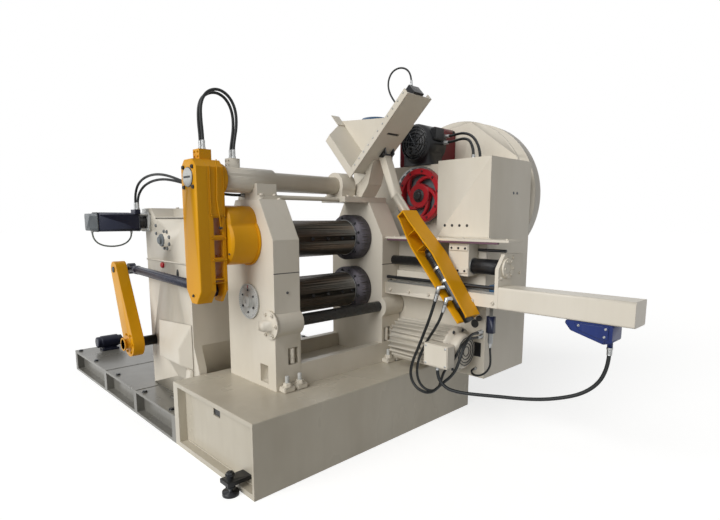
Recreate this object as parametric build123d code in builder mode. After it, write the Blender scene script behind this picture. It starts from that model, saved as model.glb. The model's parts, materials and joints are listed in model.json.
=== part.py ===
"""Roll forging machine: a two-roll closed stand with its drive, feed guideway and rocker linkage.

Millimetres, +Z up. The origin lies on the floor under the middle of the roll pair. +X runs along
the rolls from the operator's end to the drive end, and +Y runs to the back of the machine.
"""
from build123d import *
import os
from math import tan, radians

os.makedirs("parts", exist_ok=True)

# Driving dimensions
floor_z = 0

# base
base_left, base_right = -976, 1109
base_front, base_back = -610, 390
base_height = 450
side_recess, side_top, side_flange = 55, 28, 34
rear_base_back = 2790
rear_base_right = 1144
rear_base_height = 200
rear_deck_thickness = 22
rear_beam_web = 60
rear_bay_count = 3
stiffener_pitch = 720
pit_left, pit_right = -830, -160
pit_front, pit_back = 480, 760
jack_x, jack_y = -1031, -450
jack_bolt_radius = 12

# roll stand
roll_centre_distance = 400
lower_roll_z = 1010
stand_gap = 782
housing_thickness = 200
housing_depth = 568
housing_shoulder_z = 1420
housing_top_z = 1674
housing_top_depth = 286
stand_tray_floor = 40
stand_tray_wall = 60
stand_tray_height = 150
mandrel_radius = 130
journal_radius = 110
journal_clearance = 0.05
collar_radius = 172
left_collar_radius = 160
collar_width = 55
collar_end_gap = 6
roll_end_gap = 5
groove_depth, groove_height = 4, 5
guide_bar_y, guide_bar_z = -240, 883
guide_bar_radius = 40
boss_radius = 86
bar_flange_radius = 92
bar_flange_thickness = 14
bar_square, bar_square_length = 58, 60
dial_z, dial_radius, dial_thickness = 1010, 118, 14

# eccentric cover on the operator's end
cover_length = 199
cover_lower_radius = 150
cover_upper_radius = 112
cover_upper_z = 1522

# rocker: top tube, front arm, connecting rod and rear arm
tube_z = 1795
tube_y = 10
tube_radius = 63.5
tube_sleeve_radius = 80
tube_sleeve_end = -400
tube_right_end = 310
bearing_clearance = 0.05
arm_left = -976
arm_plate_thickness = 70
arm_gap = 12
arm_web_thickness = 96
arm_width = 190
arm_bottom_z = 1035
arm_head = 105
fork_cheek = 18
pivot_cap_radius = 54
rod_pin_y, rod_pin_z = 35, 1105
rod_radius = 33
pin_radius = 18
rod_eye_thickness = 50
rod_shank_length = 100
rear_pin_y, rear_pin_z = 1400, 1145
rear_pivot_y, rear_pivot_z = 1165, 575
rear_arm_thickness = 84
rear_arm_left = -986

# drive housing
drive_left, drive_right = 599, 1144
drive_front, drive_back = -1060, base_back
drive_ledge_z = 1420
drive_top_z = 1960
upper_box_back = -630
wheel_wall_left = 744
wheel_wall_back = 400
shaft_y, shaft_z = -410, 1725
wheel_radius = 203
wheel_thickness = 55
wheel_rim = 44
clutch_disc_radius = 262
clutch_disc_thickness = 30
clutch_shaft_radius = 38
shaft_end_gap = 5
drum_radius = 600
drum_length = 280

# feed guideway
rail_left = 424
rail_back, rail_front = -284, -1244
rail_bottom_z, rail_top_z = 990, 1075
end_plate_thickness = 26
end_plate_top_z = 1330
guide_shaft_x, guide_shaft_z = 522, 1240
guide_shaft_radius = 34
guide_shaft_clearance = 0.05
barrel_radius = 51
carriage_front, carriage_back = -1000, -842
carriage_left, carriage_right = 458, 572
carriage_bottom_z, carriage_top_z = 1172, 1392
ledge_left, ledge_front = 424, -1304
ledge_thickness = 15
beam_front = -2033
beam_width = 170
beam_bottom_z, beam_top_z = 987, 1127
beam_wall = 10

# feed arm, in the plane across the rolls
arm_top_y, arm_top_z = -555, 1590
arm_end_y, arm_end_z = -1087, 915
feed_arm_left, feed_arm_right = 274, 424
feed_arm_wall = 10
cylinder_radius = 36

# chute
chute_low_y, chute_low_z = -160, 1890
chute_high_y, chute_high_z = -663, 2354
chute_left, chute_right = 214, 464
chute_plate = 8
chute_flange = 46

upper_roll_z = lower_roll_z + roll_centre_distance
half_gap = stand_gap / 2
housing_outer = half_gap + housing_thickness
half_depth = housing_depth / 2

# fittings at the ends of hoses and cables
elbow_radius, elbow_length = 14, 36
gland_radius = 15


def hose_radius(points):
    """Largest bend that fits every corner of a hose's middle line."""
    steps = [Vector(*b) - Vector(*a) for a, b in zip(points, points[1:])]
    turns = [a.get_angle(b) for a, b in zip(steps, steps[1:])]
    return min(0.45 * min(a.length, b.length) / tan(radians(turn / 2))
               for a, b, turn in zip(steps, steps[1:], turns))


# Base
with BuildPart() as base_block:
    with BuildSketch(Plane.XY):
        with Locations(((base_left + base_right) / 2, (base_front + base_back) / 2)):
            Rectangle(base_right - base_left, base_back - base_front)
    extrude(amount=base_height)
    fillet(base_block.edges().group_by(Axis.Z)[-1], 6)
    # framed left side: plate edges stand round a recessed panel with a square hand hole
    with BuildSketch(Plane.YZ.offset(base_left)):
        with Locations(((base_front + base_back - 45) / 2, (side_flange + base_height - side_top) / 2)):
            Rectangle(base_back - base_front - 85, base_height - side_top - side_flange)
    extrude(amount=side_recess, mode=Mode.SUBTRACT)
    with BuildSketch(Plane.YZ.offset(base_left + side_recess)):
        with Locations((base_front + 500, base_height - 75)):
            Rectangle(84, 90)
    extrude(amount=160, mode=Mode.SUBTRACT)
base_block.part.label = "base_block"
export_step(base_block.part, "parts/base_block.step")

lug_seat = base_left + side_recess
with BuildPart() as levelling_foot:
    with BuildSketch(Plane.XY):
        with Locations((jack_x, jack_y)):
            Circle(48)
    extrude(amount=22)
    with BuildSketch(Plane.XY.offset(22)):
        with Locations((jack_x, jack_y)):
            Circle(jack_bolt_radius)
    extrude(amount=118)
    with BuildSketch(Plane.XY.offset(70)):
        with Locations(((jack_x - 40 + lug_seat) / 2, jack_y)):
            Rectangle(lug_seat - jack_x + 40, 90)
    extrude(amount=24)
    with BuildSketch(Plane.XY.offset(94)):
        with Locations((jack_x, jack_y)):
            RegularPolygon(22, 6)
    extrude(amount=18)
levelling_foot.part.label = "levelling_foot"
export_step(levelling_foot.part, "parts/levelling_foot.step")

with BuildPart() as rear_base:
    rear_mid_x = (base_left + rear_base_right) / 2
    rear_mid_y = (base_back + rear_base_back) / 2
    rear_width = rear_base_right - base_left
    rear_length = rear_base_back - base_back
    with BuildSketch(Plane.XY):
        with Locations((rear_mid_x, rear_mid_y)):
            Rectangle(rear_width, rear_length)
    extrude(amount=rear_base_height)
    # the bays between the cross beams are open underneath, and the long sides are channels
    for bay in range(rear_bay_count):
        bay_front = base_back + bay * stiffener_pitch + rear_beam_web
        last = bay == rear_bay_count - 1
        bay_back = rear_base_back - rear_beam_web if last else bay_front + stiffener_pitch - rear_beam_web
        with BuildSketch(Plane.XY):
            with Locations((rear_mid_x, (bay_front + bay_back) / 2)):
                Rectangle(rear_width - 4 * rear_beam_web, bay_back - bay_front)
        extrude(amount=rear_base_height - rear_deck_thickness, mode=Mode.SUBTRACT)
        for side_x, inward in ((base_left, 1), (rear_base_right, -1)):
            with BuildSketch(Plane.YZ.offset(side_x)):
                with Locations(((bay_front + bay_back) / 2, rear_base_height / 2)):
                    Rectangle(bay_back - bay_front, rear_base_height - 2 * rear_deck_thickness)
            extrude(amount=inward * rear_beam_web, mode=Mode.SUBTRACT)
    with BuildSketch(Plane.XY.offset(rear_base_height)):
        with Locations(((pit_left + pit_right) / 2, (pit_front + pit_back) / 2)):
            Rectangle(pit_right - pit_left, pit_back - pit_front)
    extrude(amount=-rear_deck_thickness * 2, mode=Mode.SUBTRACT)
rear_base.part.label = "rear_base"
export_step(rear_base.part, "parts/rear_base.step")

with BuildPart() as stand_tray:
    with BuildSketch(Plane.YZ.offset(-half_gap)):
        with BuildLine():
            Polyline(
                (-half_depth, base_height), (half_depth, base_height),
                (half_depth, base_height + stand_tray_height),
                (half_depth - stand_tray_wall, base_height + stand_tray_height),
                (half_depth - stand_tray_wall, base_height + stand_tray_floor),
                (stand_tray_wall - half_depth, base_height + stand_tray_floor),
                (stand_tray_wall - half_depth, base_height + stand_tray_height),
                (-half_depth, base_height + stand_tray_height),
                close=True,
            )
        make_face()
    extrude(amount=stand_gap)
stand_tray.part.label = "stand_tray"
export_step(stand_tray.part, "parts/stand_tray.step")

# Roll stand housings
housing_outline = [
    (-half_depth, base_height), (half_depth, base_height), (half_depth, housing_shoulder_z),
    (housing_top_depth / 2, housing_top_z), (-housing_top_depth / 2, housing_top_z),
    (-half_depth, housing_shoulder_z),
]

with BuildPart() as left_housing:
    with BuildSketch(Plane.YZ.offset(-housing_outer)):
        with BuildLine():
            Polyline(*housing_outline, close=True)
        make_face()
        with Locations((guide_bar_y, guide_bar_z)):
            Circle(boss_radius)
        with Locations((0, lower_roll_z), (0, upper_roll_z)):
            Circle(journal_radius + journal_clearance, mode=Mode.SUBTRACT)
        with Locations((guide_bar_y, guide_bar_z)):
            Circle(guide_bar_radius, mode=Mode.SUBTRACT)
    extrude(amount=housing_thickness)
    # parting line between the housing and its cap, on the front and back faces
    for face_y in (-half_depth, half_depth):
        with BuildSketch(Plane.YZ.offset(-housing_outer)):
            with Locations((face_y, (lower_roll_z + upper_roll_z) / 2)):
                Rectangle(2 * groove_depth, groove_height)
        extrude(amount=housing_thickness, mode=Mode.SUBTRACT)
    # bolt pockets by the foot
    with BuildSketch(Plane.YZ.offset(-housing_outer)):
        with Locations((-150, base_height + 95)):
            Rectangle(90, 120)
    extrude(amount=60, mode=Mode.SUBTRACT)
    with BuildSketch(Plane.XZ.offset(half_depth)):
        with Locations((-half_gap - 62, base_height + 215)):
            Rectangle(80, 110)
    extrude(amount=-60, mode=Mode.SUBTRACT)
left_housing.part.label = "left_housing"
export_step(left_housing.part, "parts/left_housing.step")

with BuildPart() as right_housing:
    with BuildSketch(Plane.YZ.offset(half_gap)):
        with BuildLine():
            Polyline(*housing_outline, close=True)
        make_face()
        with Locations((guide_bar_y, guide_bar_z)):
            Circle(boss_radius)
        with Locations((0, lower_roll_z), (0, upper_roll_z)):
            Circle(journal_radius + journal_clearance, mode=Mode.SUBTRACT)
        with Locations((guide_bar_y, guide_bar_z)):
            Circle(guide_bar_radius, mode=Mode.SUBTRACT)
    extrude(amount=housing_thickness)
    for face_y in (-half_depth, half_depth):
        with BuildSketch(Plane.YZ.offset(half_gap)):
            with Locations((face_y, (lower_roll_z + upper_roll_z) / 2)):
                Rectangle(2 * groove_depth, groove_height)
        extrude(amount=housing_thickness, mode=Mode.SUBTRACT)
    with BuildSketch(Plane.XZ.offset(half_depth)):
        with Locations((half_gap + 62, base_height + 215)):
            Rectangle(80, 110)
    extrude(amount=-60, mode=Mode.SUBTRACT)
right_housing.part.label = "right_housing"
export_step(right_housing.part, "parts/right_housing.step")

# Rolls
roll_outline = [
    (roll_end_gap - housing_outer, 0), (roll_end_gap - housing_outer, journal_radius),
    (-half_gap + collar_end_gap, journal_radius),
    (-half_gap + collar_end_gap, left_collar_radius),
    (-half_gap + collar_end_gap + collar_width, left_collar_radius),
    (-half_gap + collar_end_gap + collar_width, mandrel_radius),
    (half_gap - collar_end_gap - 2 * collar_width, mandrel_radius),
    (half_gap - collar_end_gap - 2 * collar_width, collar_radius),
    (half_gap - collar_end_gap, collar_radius),
    (half_gap - collar_end_gap, journal_radius),
    (housing_outer - roll_end_gap, journal_radius), (housing_outer - roll_end_gap, 0),
]
key_length = stand_gap - 3 * collar_width - 4 * collar_end_gap
key_centre = (-half_gap + collar_width + half_gap - 2 * collar_width) / 2

with BuildPart() as upper_roll:
    with BuildSketch(Plane.XZ):
        with BuildLine():
            Polyline(*[(x, z + upper_roll_z) for x, z in roll_outline], close=True)
        make_face()
    revolve(axis=Axis((0, 0, upper_roll_z), (1, 0, 0)))
    # long keyways that hold the die segments
    for key_plane in (Plane.XZ.offset(mandrel_radius), Plane.XY.offset(upper_roll_z + mandrel_radius)):
        with BuildSketch(key_plane):
            with Locations((key_centre, upper_roll_z if key_plane.z_dir.Y else 0)):
                Rectangle(key_length, 36)
        extrude(amount=-18, mode=Mode.SUBTRACT)
upper_roll.part.label = "upper_roll"
export_step(upper_roll.part, "parts/upper_roll.step")

with BuildPart() as lower_roll:
    with BuildSketch(Plane.XZ):
        with BuildLine():
            Polyline(*[(x, z + lower_roll_z) for x, z in roll_outline], close=True)
        make_face()
    revolve(axis=Axis((0, 0, lower_roll_z), (1, 0, 0)))
    for key_plane in (Plane.XZ.offset(mandrel_radius), Plane.XY.offset(lower_roll_z + mandrel_radius)):
        with BuildSketch(key_plane):
            with Locations((key_centre, lower_roll_z if key_plane.z_dir.Y else 0)):
                Rectangle(key_length, 36)
        extrude(amount=-18, mode=Mode.SUBTRACT)
lower_roll.part.label = "lower_roll"
export_step(lower_roll.part, "parts/lower_roll.step")

with BuildPart() as guide_bar:
    with BuildSketch(Plane.YZ.offset(-housing_outer)):
        with Locations((guide_bar_y, guide_bar_z)):
            Circle(guide_bar_radius)
    extrude(amount=2 * housing_outer)
    with BuildSketch(Plane.YZ.offset(-housing_outer)):
        with Locations((guide_bar_y, guide_bar_z)):
            Circle(bar_flange_radius)
    extrude(amount=-bar_flange_thickness)
    with BuildSketch(Plane.YZ.offset(-housing_outer - bar_flange_thickness)):
        with Locations((guide_bar_y, guide_bar_z)):
            Rectangle(bar_square, bar_square)
    extrude(amount=-bar_square_length)
guide_bar.part.label = "guide_bar"
export_step(guide_bar.part, "parts/guide_bar.step")

with BuildPart() as adjusting_dial:
    with BuildSketch(Plane.YZ.offset(-housing_outer)):
        with Locations((0, dial_z)):
            Circle(dial_radius)
    extrude(amount=-dial_thickness)
    with BuildSketch(Plane.YZ.offset(-housing_outer - dial_thickness)):
        with Locations((0, dial_z)):
            with PolarLocations(dial_radius * 0.62, 3, 90):
                Circle(9)
    extrude(amount=dial_thickness / 2, mode=Mode.SUBTRACT)
adjusting_dial.part.label = "adjusting_dial"
export_step(adjusting_dial.part, "parts/adjusting_dial.step")

with BuildPart() as eccentric_cover:
    with BuildSketch(Plane.YZ.offset(-housing_outer)):
        with Locations((0, upper_roll_z)):
            Circle(cover_lower_radius)
        with Locations((0, cover_upper_z)):
            Circle(cover_upper_radius)
        with Locations((0, (upper_roll_z + cover_upper_z) / 2)):
            Rectangle(2 * cover_upper_radius, cover_upper_z - upper_roll_z)
    extrude(amount=-cover_length)
    chamfer(eccentric_cover.faces().sort_by(Axis.X)[0].edges(), 16)
eccentric_cover.part.label = "eccentric_cover"
export_step(eccentric_cover.part, "parts/eccentric_cover.step")

# Top tube and its carriers
bearing_left, bearing_right = -570, -420
saddle_foot = 26

with BuildPart() as tube_bearing:
    with BuildSketch(Plane.YZ.offset(bearing_left)):
        with Locations((tube_y, (tube_z - 20 + housing_top_z) / 2)):
            Rectangle(2 * tube_sleeve_radius + 40, tube_z - 20 - housing_top_z)
        with Locations((tube_y, housing_top_z + saddle_foot / 2)):
            Rectangle(housing_top_depth - 30, saddle_foot)
        with Locations((tube_y, tube_z)):
            Circle(tube_sleeve_radius + bearing_clearance, mode=Mode.SUBTRACT)
    extrude(amount=bearing_right - bearing_left)
tube_bearing.part.label = "tube_bearing"
export_step(tube_bearing.part, "parts/tube_bearing.step")

mount_plate_left, mount_plate_thickness = 150, 40
clamp_left, clamp_right = 170, 300

with BuildPart() as tube_clamp:
    with BuildSketch(Plane.YZ.offset(clamp_left)):
        with Locations((tube_y, tube_z)):
            Circle(tube_radius + 34)
        with Locations((tube_y, (tube_z + housing_top_z + mount_plate_thickness) / 2)):
            Rectangle(2 * tube_radius + 50, tube_z - housing_top_z - mount_plate_thickness)
        with Locations((tube_y, tube_z)):
            Circle(tube_radius + bearing_clearance, mode=Mode.SUBTRACT)
        with Locations((tube_y, housing_top_z)):
            Rectangle(300, 2 * mount_plate_thickness, mode=Mode.SUBTRACT)
    extrude(amount=clamp_right - clamp_left)
tube_clamp.part.label = "tube_clamp"
export_step(tube_clamp.part, "parts/tube_clamp.step")

arm_plate_right = arm_left + arm_plate_thickness
arm_web_left = arm_plate_right + arm_gap
arm_web_right = arm_web_left + arm_web_thickness
hose_block_x, manifold_x = -882, -680

with BuildPart() as top_tube:
    with BuildSketch(Plane.YZ.offset(arm_web_right)):
        with Locations((tube_y, tube_z)):
            Circle(tube_sleeve_radius)
    extrude(amount=tube_sleeve_end - arm_web_right)
    with BuildSketch(Plane.YZ.offset(tube_sleeve_end)):
        with Locations((tube_y, tube_z)):
            Circle(tube_radius)
    extrude(amount=tube_right_end - tube_sleeve_end)
    with BuildSketch(Plane.XY.offset(tube_z + tube_sleeve_radius - 12)):
        with Locations((manifold_x, tube_y)):
            Rectangle(70, 60)
    extrude(amount=62)
top_tube.part.label = "top_tube"
export_step(top_tube.part, "parts/top_tube.step")

arm_outline = [
    (tube_y - arm_width / 2, arm_bottom_z + 80), (tube_y - 34, arm_bottom_z), (tube_y + 34, arm_bottom_z),
    (tube_y + arm_width / 2, arm_bottom_z + 80), (tube_y + arm_width / 2, tube_z + 60),
    (tube_y + arm_width / 2 - 45, tube_z + arm_head), (tube_y - arm_width / 2 + 45, tube_z + arm_head),
    (tube_y - arm_width / 2, tube_z + 60),
]

with BuildPart() as front_arm_cover:
    with BuildSketch(Plane.YZ.offset(arm_left)):
        with BuildLine():
            Polyline(*arm_outline, close=True)
        make_face()
    extrude(amount=arm_plate_thickness)
    fillet(front_arm_cover.faces().sort_by(Axis.X)[0].edges(), 6)
    # slotted pivot cap over the tube's end
    with BuildSketch(Plane.YZ.offset(arm_left)):
        with Locations((tube_y, tube_z)):
            Circle(pivot_cap_radius)
    extrude(amount=-10)
    with BuildSketch(Plane.YZ.offset(arm_left - 10)):
        with Locations((tube_y, tube_z)):
            Rectangle(2 * pivot_cap_radius - 20, 12)
    extrude(amount=5, mode=Mode.SUBTRACT)
front_arm_cover.part.label = "front_arm_cover"
export_step(front_arm_cover.part, "parts/front_arm_cover.step")

with BuildPart() as front_arm:
    with BuildSketch(Plane.YZ.offset(arm_plate_right)):
        with BuildLine():
            Polyline(*arm_outline, close=True)
        make_face()
    extrude(amount=arm_gap)
    with BuildSketch(Plane.YZ.offset(arm_web_left)):
        with BuildLine():
            Polyline(*arm_outline, close=True)
        make_face()
    extrude(amount=arm_web_thickness)
    # lightening pockets between cross webs, open to the front and back
    with BuildSketch(Plane.XZ.offset(-tube_y + arm_width / 2)):
        with Locations(((arm_web_left + arm_web_right) / 2, 1505), ((arm_web_left + arm_web_right) / 2, 1370),
                       ((arm_web_left + arm_web_right) / 2, 1240)):
            Rectangle(arm_web_thickness - 2 * fork_cheek, 105)
    extrude(amount=-arm_width, mode=Mode.SUBTRACT)
    # fork slot for the connecting rod's eye
    with BuildSketch(Plane.YZ.offset(arm_web_left + fork_cheek)):
        with Locations((tube_y, arm_bottom_z + 70)):
            Rectangle(arm_width + 10, 150)
    extrude(amount=arm_web_thickness - 2 * fork_cheek, mode=Mode.SUBTRACT)
    # pin pressed into the fork
    with BuildSketch(Plane.YZ.offset(arm_plate_right)):
        with Locations((rod_pin_y, rod_pin_z)):
            Circle(pin_radius - bearing_clearance)
    extrude(amount=arm_gap + arm_web_thickness + 6)
    # hose block on the arm's head
    with BuildSketch(Plane.XY.offset(tube_z + arm_head)):
        with Locations((hose_block_x, tube_y)):
            Rectangle(77, 80)
    extrude(amount=62)
front_arm.part.label = "front_arm"
export_step(front_arm.part, "parts/front_arm.step")

# Connecting rod and rear arm
rod_x = (arm_web_left + arm_web_right) / 2
rod_length = ((rear_pin_y - rod_pin_y) ** 2 + (rear_pin_z - rod_pin_z) ** 2) ** 0.5
eye_radius = 44
rod_plane = Plane(origin=(rod_x - rod_eye_thickness / 2, rod_pin_y, rod_pin_z),
                  x_dir=(0, rear_pin_y - rod_pin_y, rear_pin_z - rod_pin_z), z_dir=(1, 0, 0))
rod_start = rod_plane.from_local_coords((rod_shank_length, 0, rod_eye_thickness / 2))

with BuildPart() as connecting_rod:
    with BuildSketch(rod_plane):
        with Locations((0, 0), (rod_length, 0)):
            Circle(eye_radius)
        with Locations((rod_shank_length / 2, 0), (rod_length - rod_shank_length / 2, 0)):
            Rectangle(rod_shank_length, 1.5 * rod_radius)
        with Locations((0, 0), (rod_length, 0)):
            Circle(pin_radius, mode=Mode.SUBTRACT)
    extrude(amount=rod_eye_thickness)
    with BuildSketch(Plane(origin=rod_start, z_dir=rod_plane.x_dir)):
        Circle(rod_radius)
    extrude(amount=rod_length - 2 * rod_shank_length)
connecting_rod.part.label = "connecting_rod"
export_step(connecting_rod.part, "parts/connecting_rod.step")

rear_arm_right = rear_arm_left + rear_arm_thickness
rear_pin_slack = 9
rear_shaft_radius = 40
shaft_seat = 60
gearbox_left, gearbox_right = -776, -150
gearbox_front, gearbox_back = 470, 1230
gearbox_top = 1634

with BuildPart() as rear_arm:
    with BuildSketch(Plane.YZ.offset(rear_arm_left)):
        with Locations((rear_pivot_y, rear_pivot_z)):
            Circle(105)
        with Locations((rear_pin_y, rear_pin_z)):
            Circle(66)
        make_hull()
    extrude(amount=rear_arm_thickness)
    with BuildSketch(Plane.YZ.offset(rear_arm_left - 46)):
        with Locations((rear_pivot_y, rear_pivot_z)):
            Circle(rear_shaft_radius)
    extrude(amount=gearbox_left + shaft_seat - rear_arm_left + 46)
    # pin that the rod's eye turns on, with the working slack of the opened linkage
    with BuildSketch(Plane.YZ.offset(rear_arm_right)):
        with Locations((rear_pin_y, rear_pin_z)):
            Circle(pin_radius - rear_pin_slack)
    extrude(amount=rod_x + rod_eye_thickness / 2 + 10 - rear_arm_right)
rear_arm.part.label = "rear_arm"
export_step(rear_arm.part, "parts/rear_arm.step")

gusset_thickness, gusset_depth = 60, 60
hub_y, hub_z = 815, 1395
with BuildPart() as gearbox:
    with BuildSketch(Plane.YZ.offset(gearbox_left)):
        with BuildLine():
            Polyline(
                (gearbox_front, rear_base_height), (gearbox_back, rear_base_height),
                (gearbox_back, gearbox_top), (gearbox_back - 130, gearbox_top),
                (gearbox_back - 210, gearbox_top - 70), (gearbox_front, gearbox_top - 70),
                close=True,
            )
        make_face()
    extrude(amount=gearbox_right - gearbox_left)
    with BuildSketch(Plane.YZ.offset(gearbox_left)):
        with Locations((rear_pivot_y, rear_pivot_z)):
            Circle(rear_shaft_radius + bearing_clearance)
    extrude(amount=shaft_seat + 2, mode=Mode.SUBTRACT)
    # the pit under the front of the case stays open
    with BuildSketch(Plane.XY.offset(rear_base_height)):
        with Locations(((pit_left + pit_right) / 2, (pit_front + pit_back) / 2)):
            Rectangle(pit_right - pit_left, pit_back - pit_front)
    extrude(amount=160, mode=Mode.SUBTRACT)
    with BuildSketch(Plane.XY.offset(gearbox_top - 70)):
        with Locations(((gearbox_left + gearbox_right) / 2 + 60, (gearbox_front + gearbox_back - 210) / 2)):
            Rectangle(gearbox_right - gearbox_left - 160, gearbox_back - 210 - gearbox_front - 20)
    extrude(amount=66)
    # gussets from the deck up the front wall
    for gusset_x in (gearbox_left + 1, gearbox_right - gusset_thickness - 1):
        with BuildSketch(Plane.YZ.offset(gusset_x)):
            with BuildLine():
                Polyline((gearbox_front, rear_base_height), (gearbox_front - gusset_depth, rear_base_height),
                         (gearbox_front - gusset_depth, rear_base_height + 284),
                         (gearbox_front, rear_base_height + 440), close=True)
            make_face()
        extrude(amount=gusset_thickness)
    # stepped bearing hub on the left wall
    with BuildSketch(Plane.YZ.offset(gearbox_left)):
        with Locations((hub_y, hub_z)):
            Circle(80)
    extrude(amount=-16)
    with BuildSketch(Plane.YZ.offset(gearbox_left - 16)):
        with Locations((hub_y, hub_z)):
            Circle(52)
    extrude(amount=-30)
gearbox.part.label = "gearbox"
export_step(gearbox.part, "parts/gearbox.step")

servo_y, servo_z = 1185, 1527
servo_flange_size = 150
servo_left = gearbox_left - 82
servo_length = 300
with BuildPart() as servo_flange:
    with BuildSketch(Plane.YZ.offset(gearbox_left)):
        with Locations((servo_y, servo_z)):
            RectangleRounded(servo_flange_size, servo_flange_size, 20)
    extrude(amount=-22)
    with BuildSketch(Plane.YZ.offset(gearbox_left - 22)):
        with Locations((servo_y, servo_z)):
            Circle(52)
    extrude(amount=-60)
    with BuildSketch(Plane.XY.offset(servo_z + servo_flange_size / 2)):
        with Locations((gearbox_left - 11, servo_y)):
            Rectangle(22, 90)
    extrude(amount=28)
servo_flange.part.label = "servo_flange"
export_step(servo_flange.part, "parts/servo_flange.step")

with BuildPart() as servo_motor:
    with BuildSketch(Plane.YZ.offset(servo_left)):
        with Locations((servo_y, servo_z)):
            RectangleRounded(140, 140, 18)
    extrude(amount=-servo_length)
    with BuildSketch(Plane.YZ.offset(servo_left - servo_length)):
        with Locations((servo_y, servo_z)):
            RectangleRounded(124, 124, 18)
    extrude(amount=-55)
    # connector block for the two hoses on top
    with BuildSketch(Plane.XY.offset(servo_z + 60)):
        with Locations((servo_left - 20, servo_y - 42)):
            Rectangle(40, 90)
    extrude(amount=35)
servo_motor.part.label = "servo_motor"
export_step(servo_motor.part, "parts/servo_motor.step")

# Drive housing, clutch and flywheel cover
with BuildPart() as drive_housing:
    with BuildSketch(Plane.YZ.offset(drive_left)):
        with BuildLine():
            Polyline(
                (drive_front, base_height), (drive_back, base_height), (drive_back, drive_ledge_z),
                (upper_box_back, drive_ledge_z), (upper_box_back, drive_top_z),
                (drive_front, drive_top_z), close=True,
            )
        make_face()
    extrude(amount=drive_right - drive_left)
    with BuildSketch(Plane.YZ.offset(wheel_wall_left)):
        with BuildLine():
            Polyline((upper_box_back, drive_ledge_z), (wheel_wall_back, drive_ledge_z),
                     (wheel_wall_back, drive_top_z), (upper_box_back, drive_top_z), close=True)
        make_face()
    extrude(amount=drive_right - wheel_wall_left)
    with BuildSketch(Plane.YZ.offset(wheel_wall_left)):
        with Locations((shaft_y, shaft_z)):
            Circle(clutch_shaft_radius + bearing_clearance)
    extrude(amount=drive_right - wheel_wall_left, mode=Mode.SUBTRACT)
drive_housing.part.label = "drive_housing"
export_step(drive_housing.part, "parts/drive_housing.step")

with BuildPart() as clutch_disc:
    with BuildSketch(Plane.YZ.offset(wheel_wall_left)):
        with Locations((shaft_y + 60, shaft_z)):
            Circle(clutch_disc_radius * 0.86)
        with Locations((shaft_y, shaft_z)):
            Circle(clutch_shaft_radius + 12, mode=Mode.SUBTRACT)
    extrude(amount=-clutch_disc_thickness)
clutch_disc.part.label = "clutch_disc"
export_step(clutch_disc.part, "parts/clutch_disc.step")

wheel_left = wheel_wall_left - clutch_disc_thickness - 8 - wheel_thickness
with BuildPart() as clutch_wheel:
    with BuildSketch(Plane.YZ.offset(wheel_left)):
        with Locations((shaft_y, shaft_z)):
            Circle(wheel_radius)
            Circle(wheel_radius - wheel_rim, mode=Mode.SUBTRACT)
            Circle(wheel_radius * 0.42)
            with PolarLocations(wheel_radius * 0.55, 3, 30):
                Rectangle(wheel_radius * 0.7, 52)
    extrude(amount=wheel_thickness)
    with BuildSketch(Plane.YZ.offset(wheel_left - 24)):
        with Locations((shaft_y, shaft_z)):
            Circle(52)
    extrude(amount=24)
    with BuildSketch(Plane.YZ.offset(wheel_left + wheel_thickness)):
        with Locations((shaft_y, shaft_z)):
            Circle(clutch_shaft_radius)
    extrude(amount=drive_right - wheel_left - wheel_thickness - shaft_end_gap)
clutch_wheel.part.label = "clutch_wheel"
export_step(clutch_wheel.part, "parts/clutch_wheel.step")

with BuildPart() as flywheel_cover:
    with BuildSketch(Plane.YZ.offset(drive_right)):
        with Locations((shaft_y, shaft_z)):
            Circle(drum_radius)
    extrude(amount=drum_length)
    with BuildSketch(Plane.YZ.offset(drive_right + drum_length * 0.6)):
        with Locations((shaft_y, shaft_z)):
            Circle(drum_radius + 4)
            Circle(drum_radius - 10, mode=Mode.SUBTRACT)
    extrude(amount=8)
    chamfer(flywheel_cover.faces().sort_by(Axis.X)[-1].edges(), 16)
flywheel_cover.part.label = "flywheel_cover"
export_step(flywheel_cover.part, "parts/flywheel_cover.step")

# Motors on the drive housing
motor_cable_low_points = [
    (850, -490, 2125), (850, -560, 2125), (839, -638, 2136), (813, -712, 2130), (779, -770, 2103),
    (752, -809, 2058), (740, -828, 2008), (740, -828, 1960),
]
motor_y, motor_z = -330, 2125
motor_left, motor_right = 690, 905
motor_radius = 142
guard_front, guard_back, guard_height = -390, 0, 310
with BuildPart() as main_motor:
    with BuildSketch(Plane.YZ.offset(motor_left)):
        with Locations((motor_y, motor_z)):
            Circle(motor_radius)
    extrude(amount=motor_right - motor_left)
    chamfer(main_motor.faces().sort_by(Axis.X)[0].edges(), 20)
    with BuildSketch(Plane.XY.offset(drive_top_z)):
        with Locations(((motor_left + motor_right) / 2, motor_y)):
            Rectangle(motor_right - motor_left - 60, 250)
    extrude(amount=motor_z - drive_top_z)
    with BuildSketch(Plane.YZ.offset(motor_left)):
        with Locations((motor_y + 20, motor_z - 60)):
            Circle(36)
            Circle(24, mode=Mode.SUBTRACT)
    extrude(amount=-26)
    with BuildSketch(Plane.XZ.offset(-motor_y + motor_radius - 30)):
        with Locations((motor_cable_low_points[0][0], motor_z)):
            Circle(gland_radius)
    extrude(amount=48)
main_motor.part.label = "main_motor"
export_step(main_motor.part, "parts/main_motor.step")

with BuildPart() as belt_guard:
    with BuildSketch(Plane.YZ.offset(motor_right)):
        with Locations(((guard_front + guard_back) / 2, drive_top_z + guard_height / 2)):
            RectangleRounded(guard_back - guard_front, guard_height, 40)
    extrude(amount=drive_right - motor_right - 6)
belt_guard.part.label = "belt_guard"
export_step(belt_guard.part, "parts/belt_guard.step")

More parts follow.
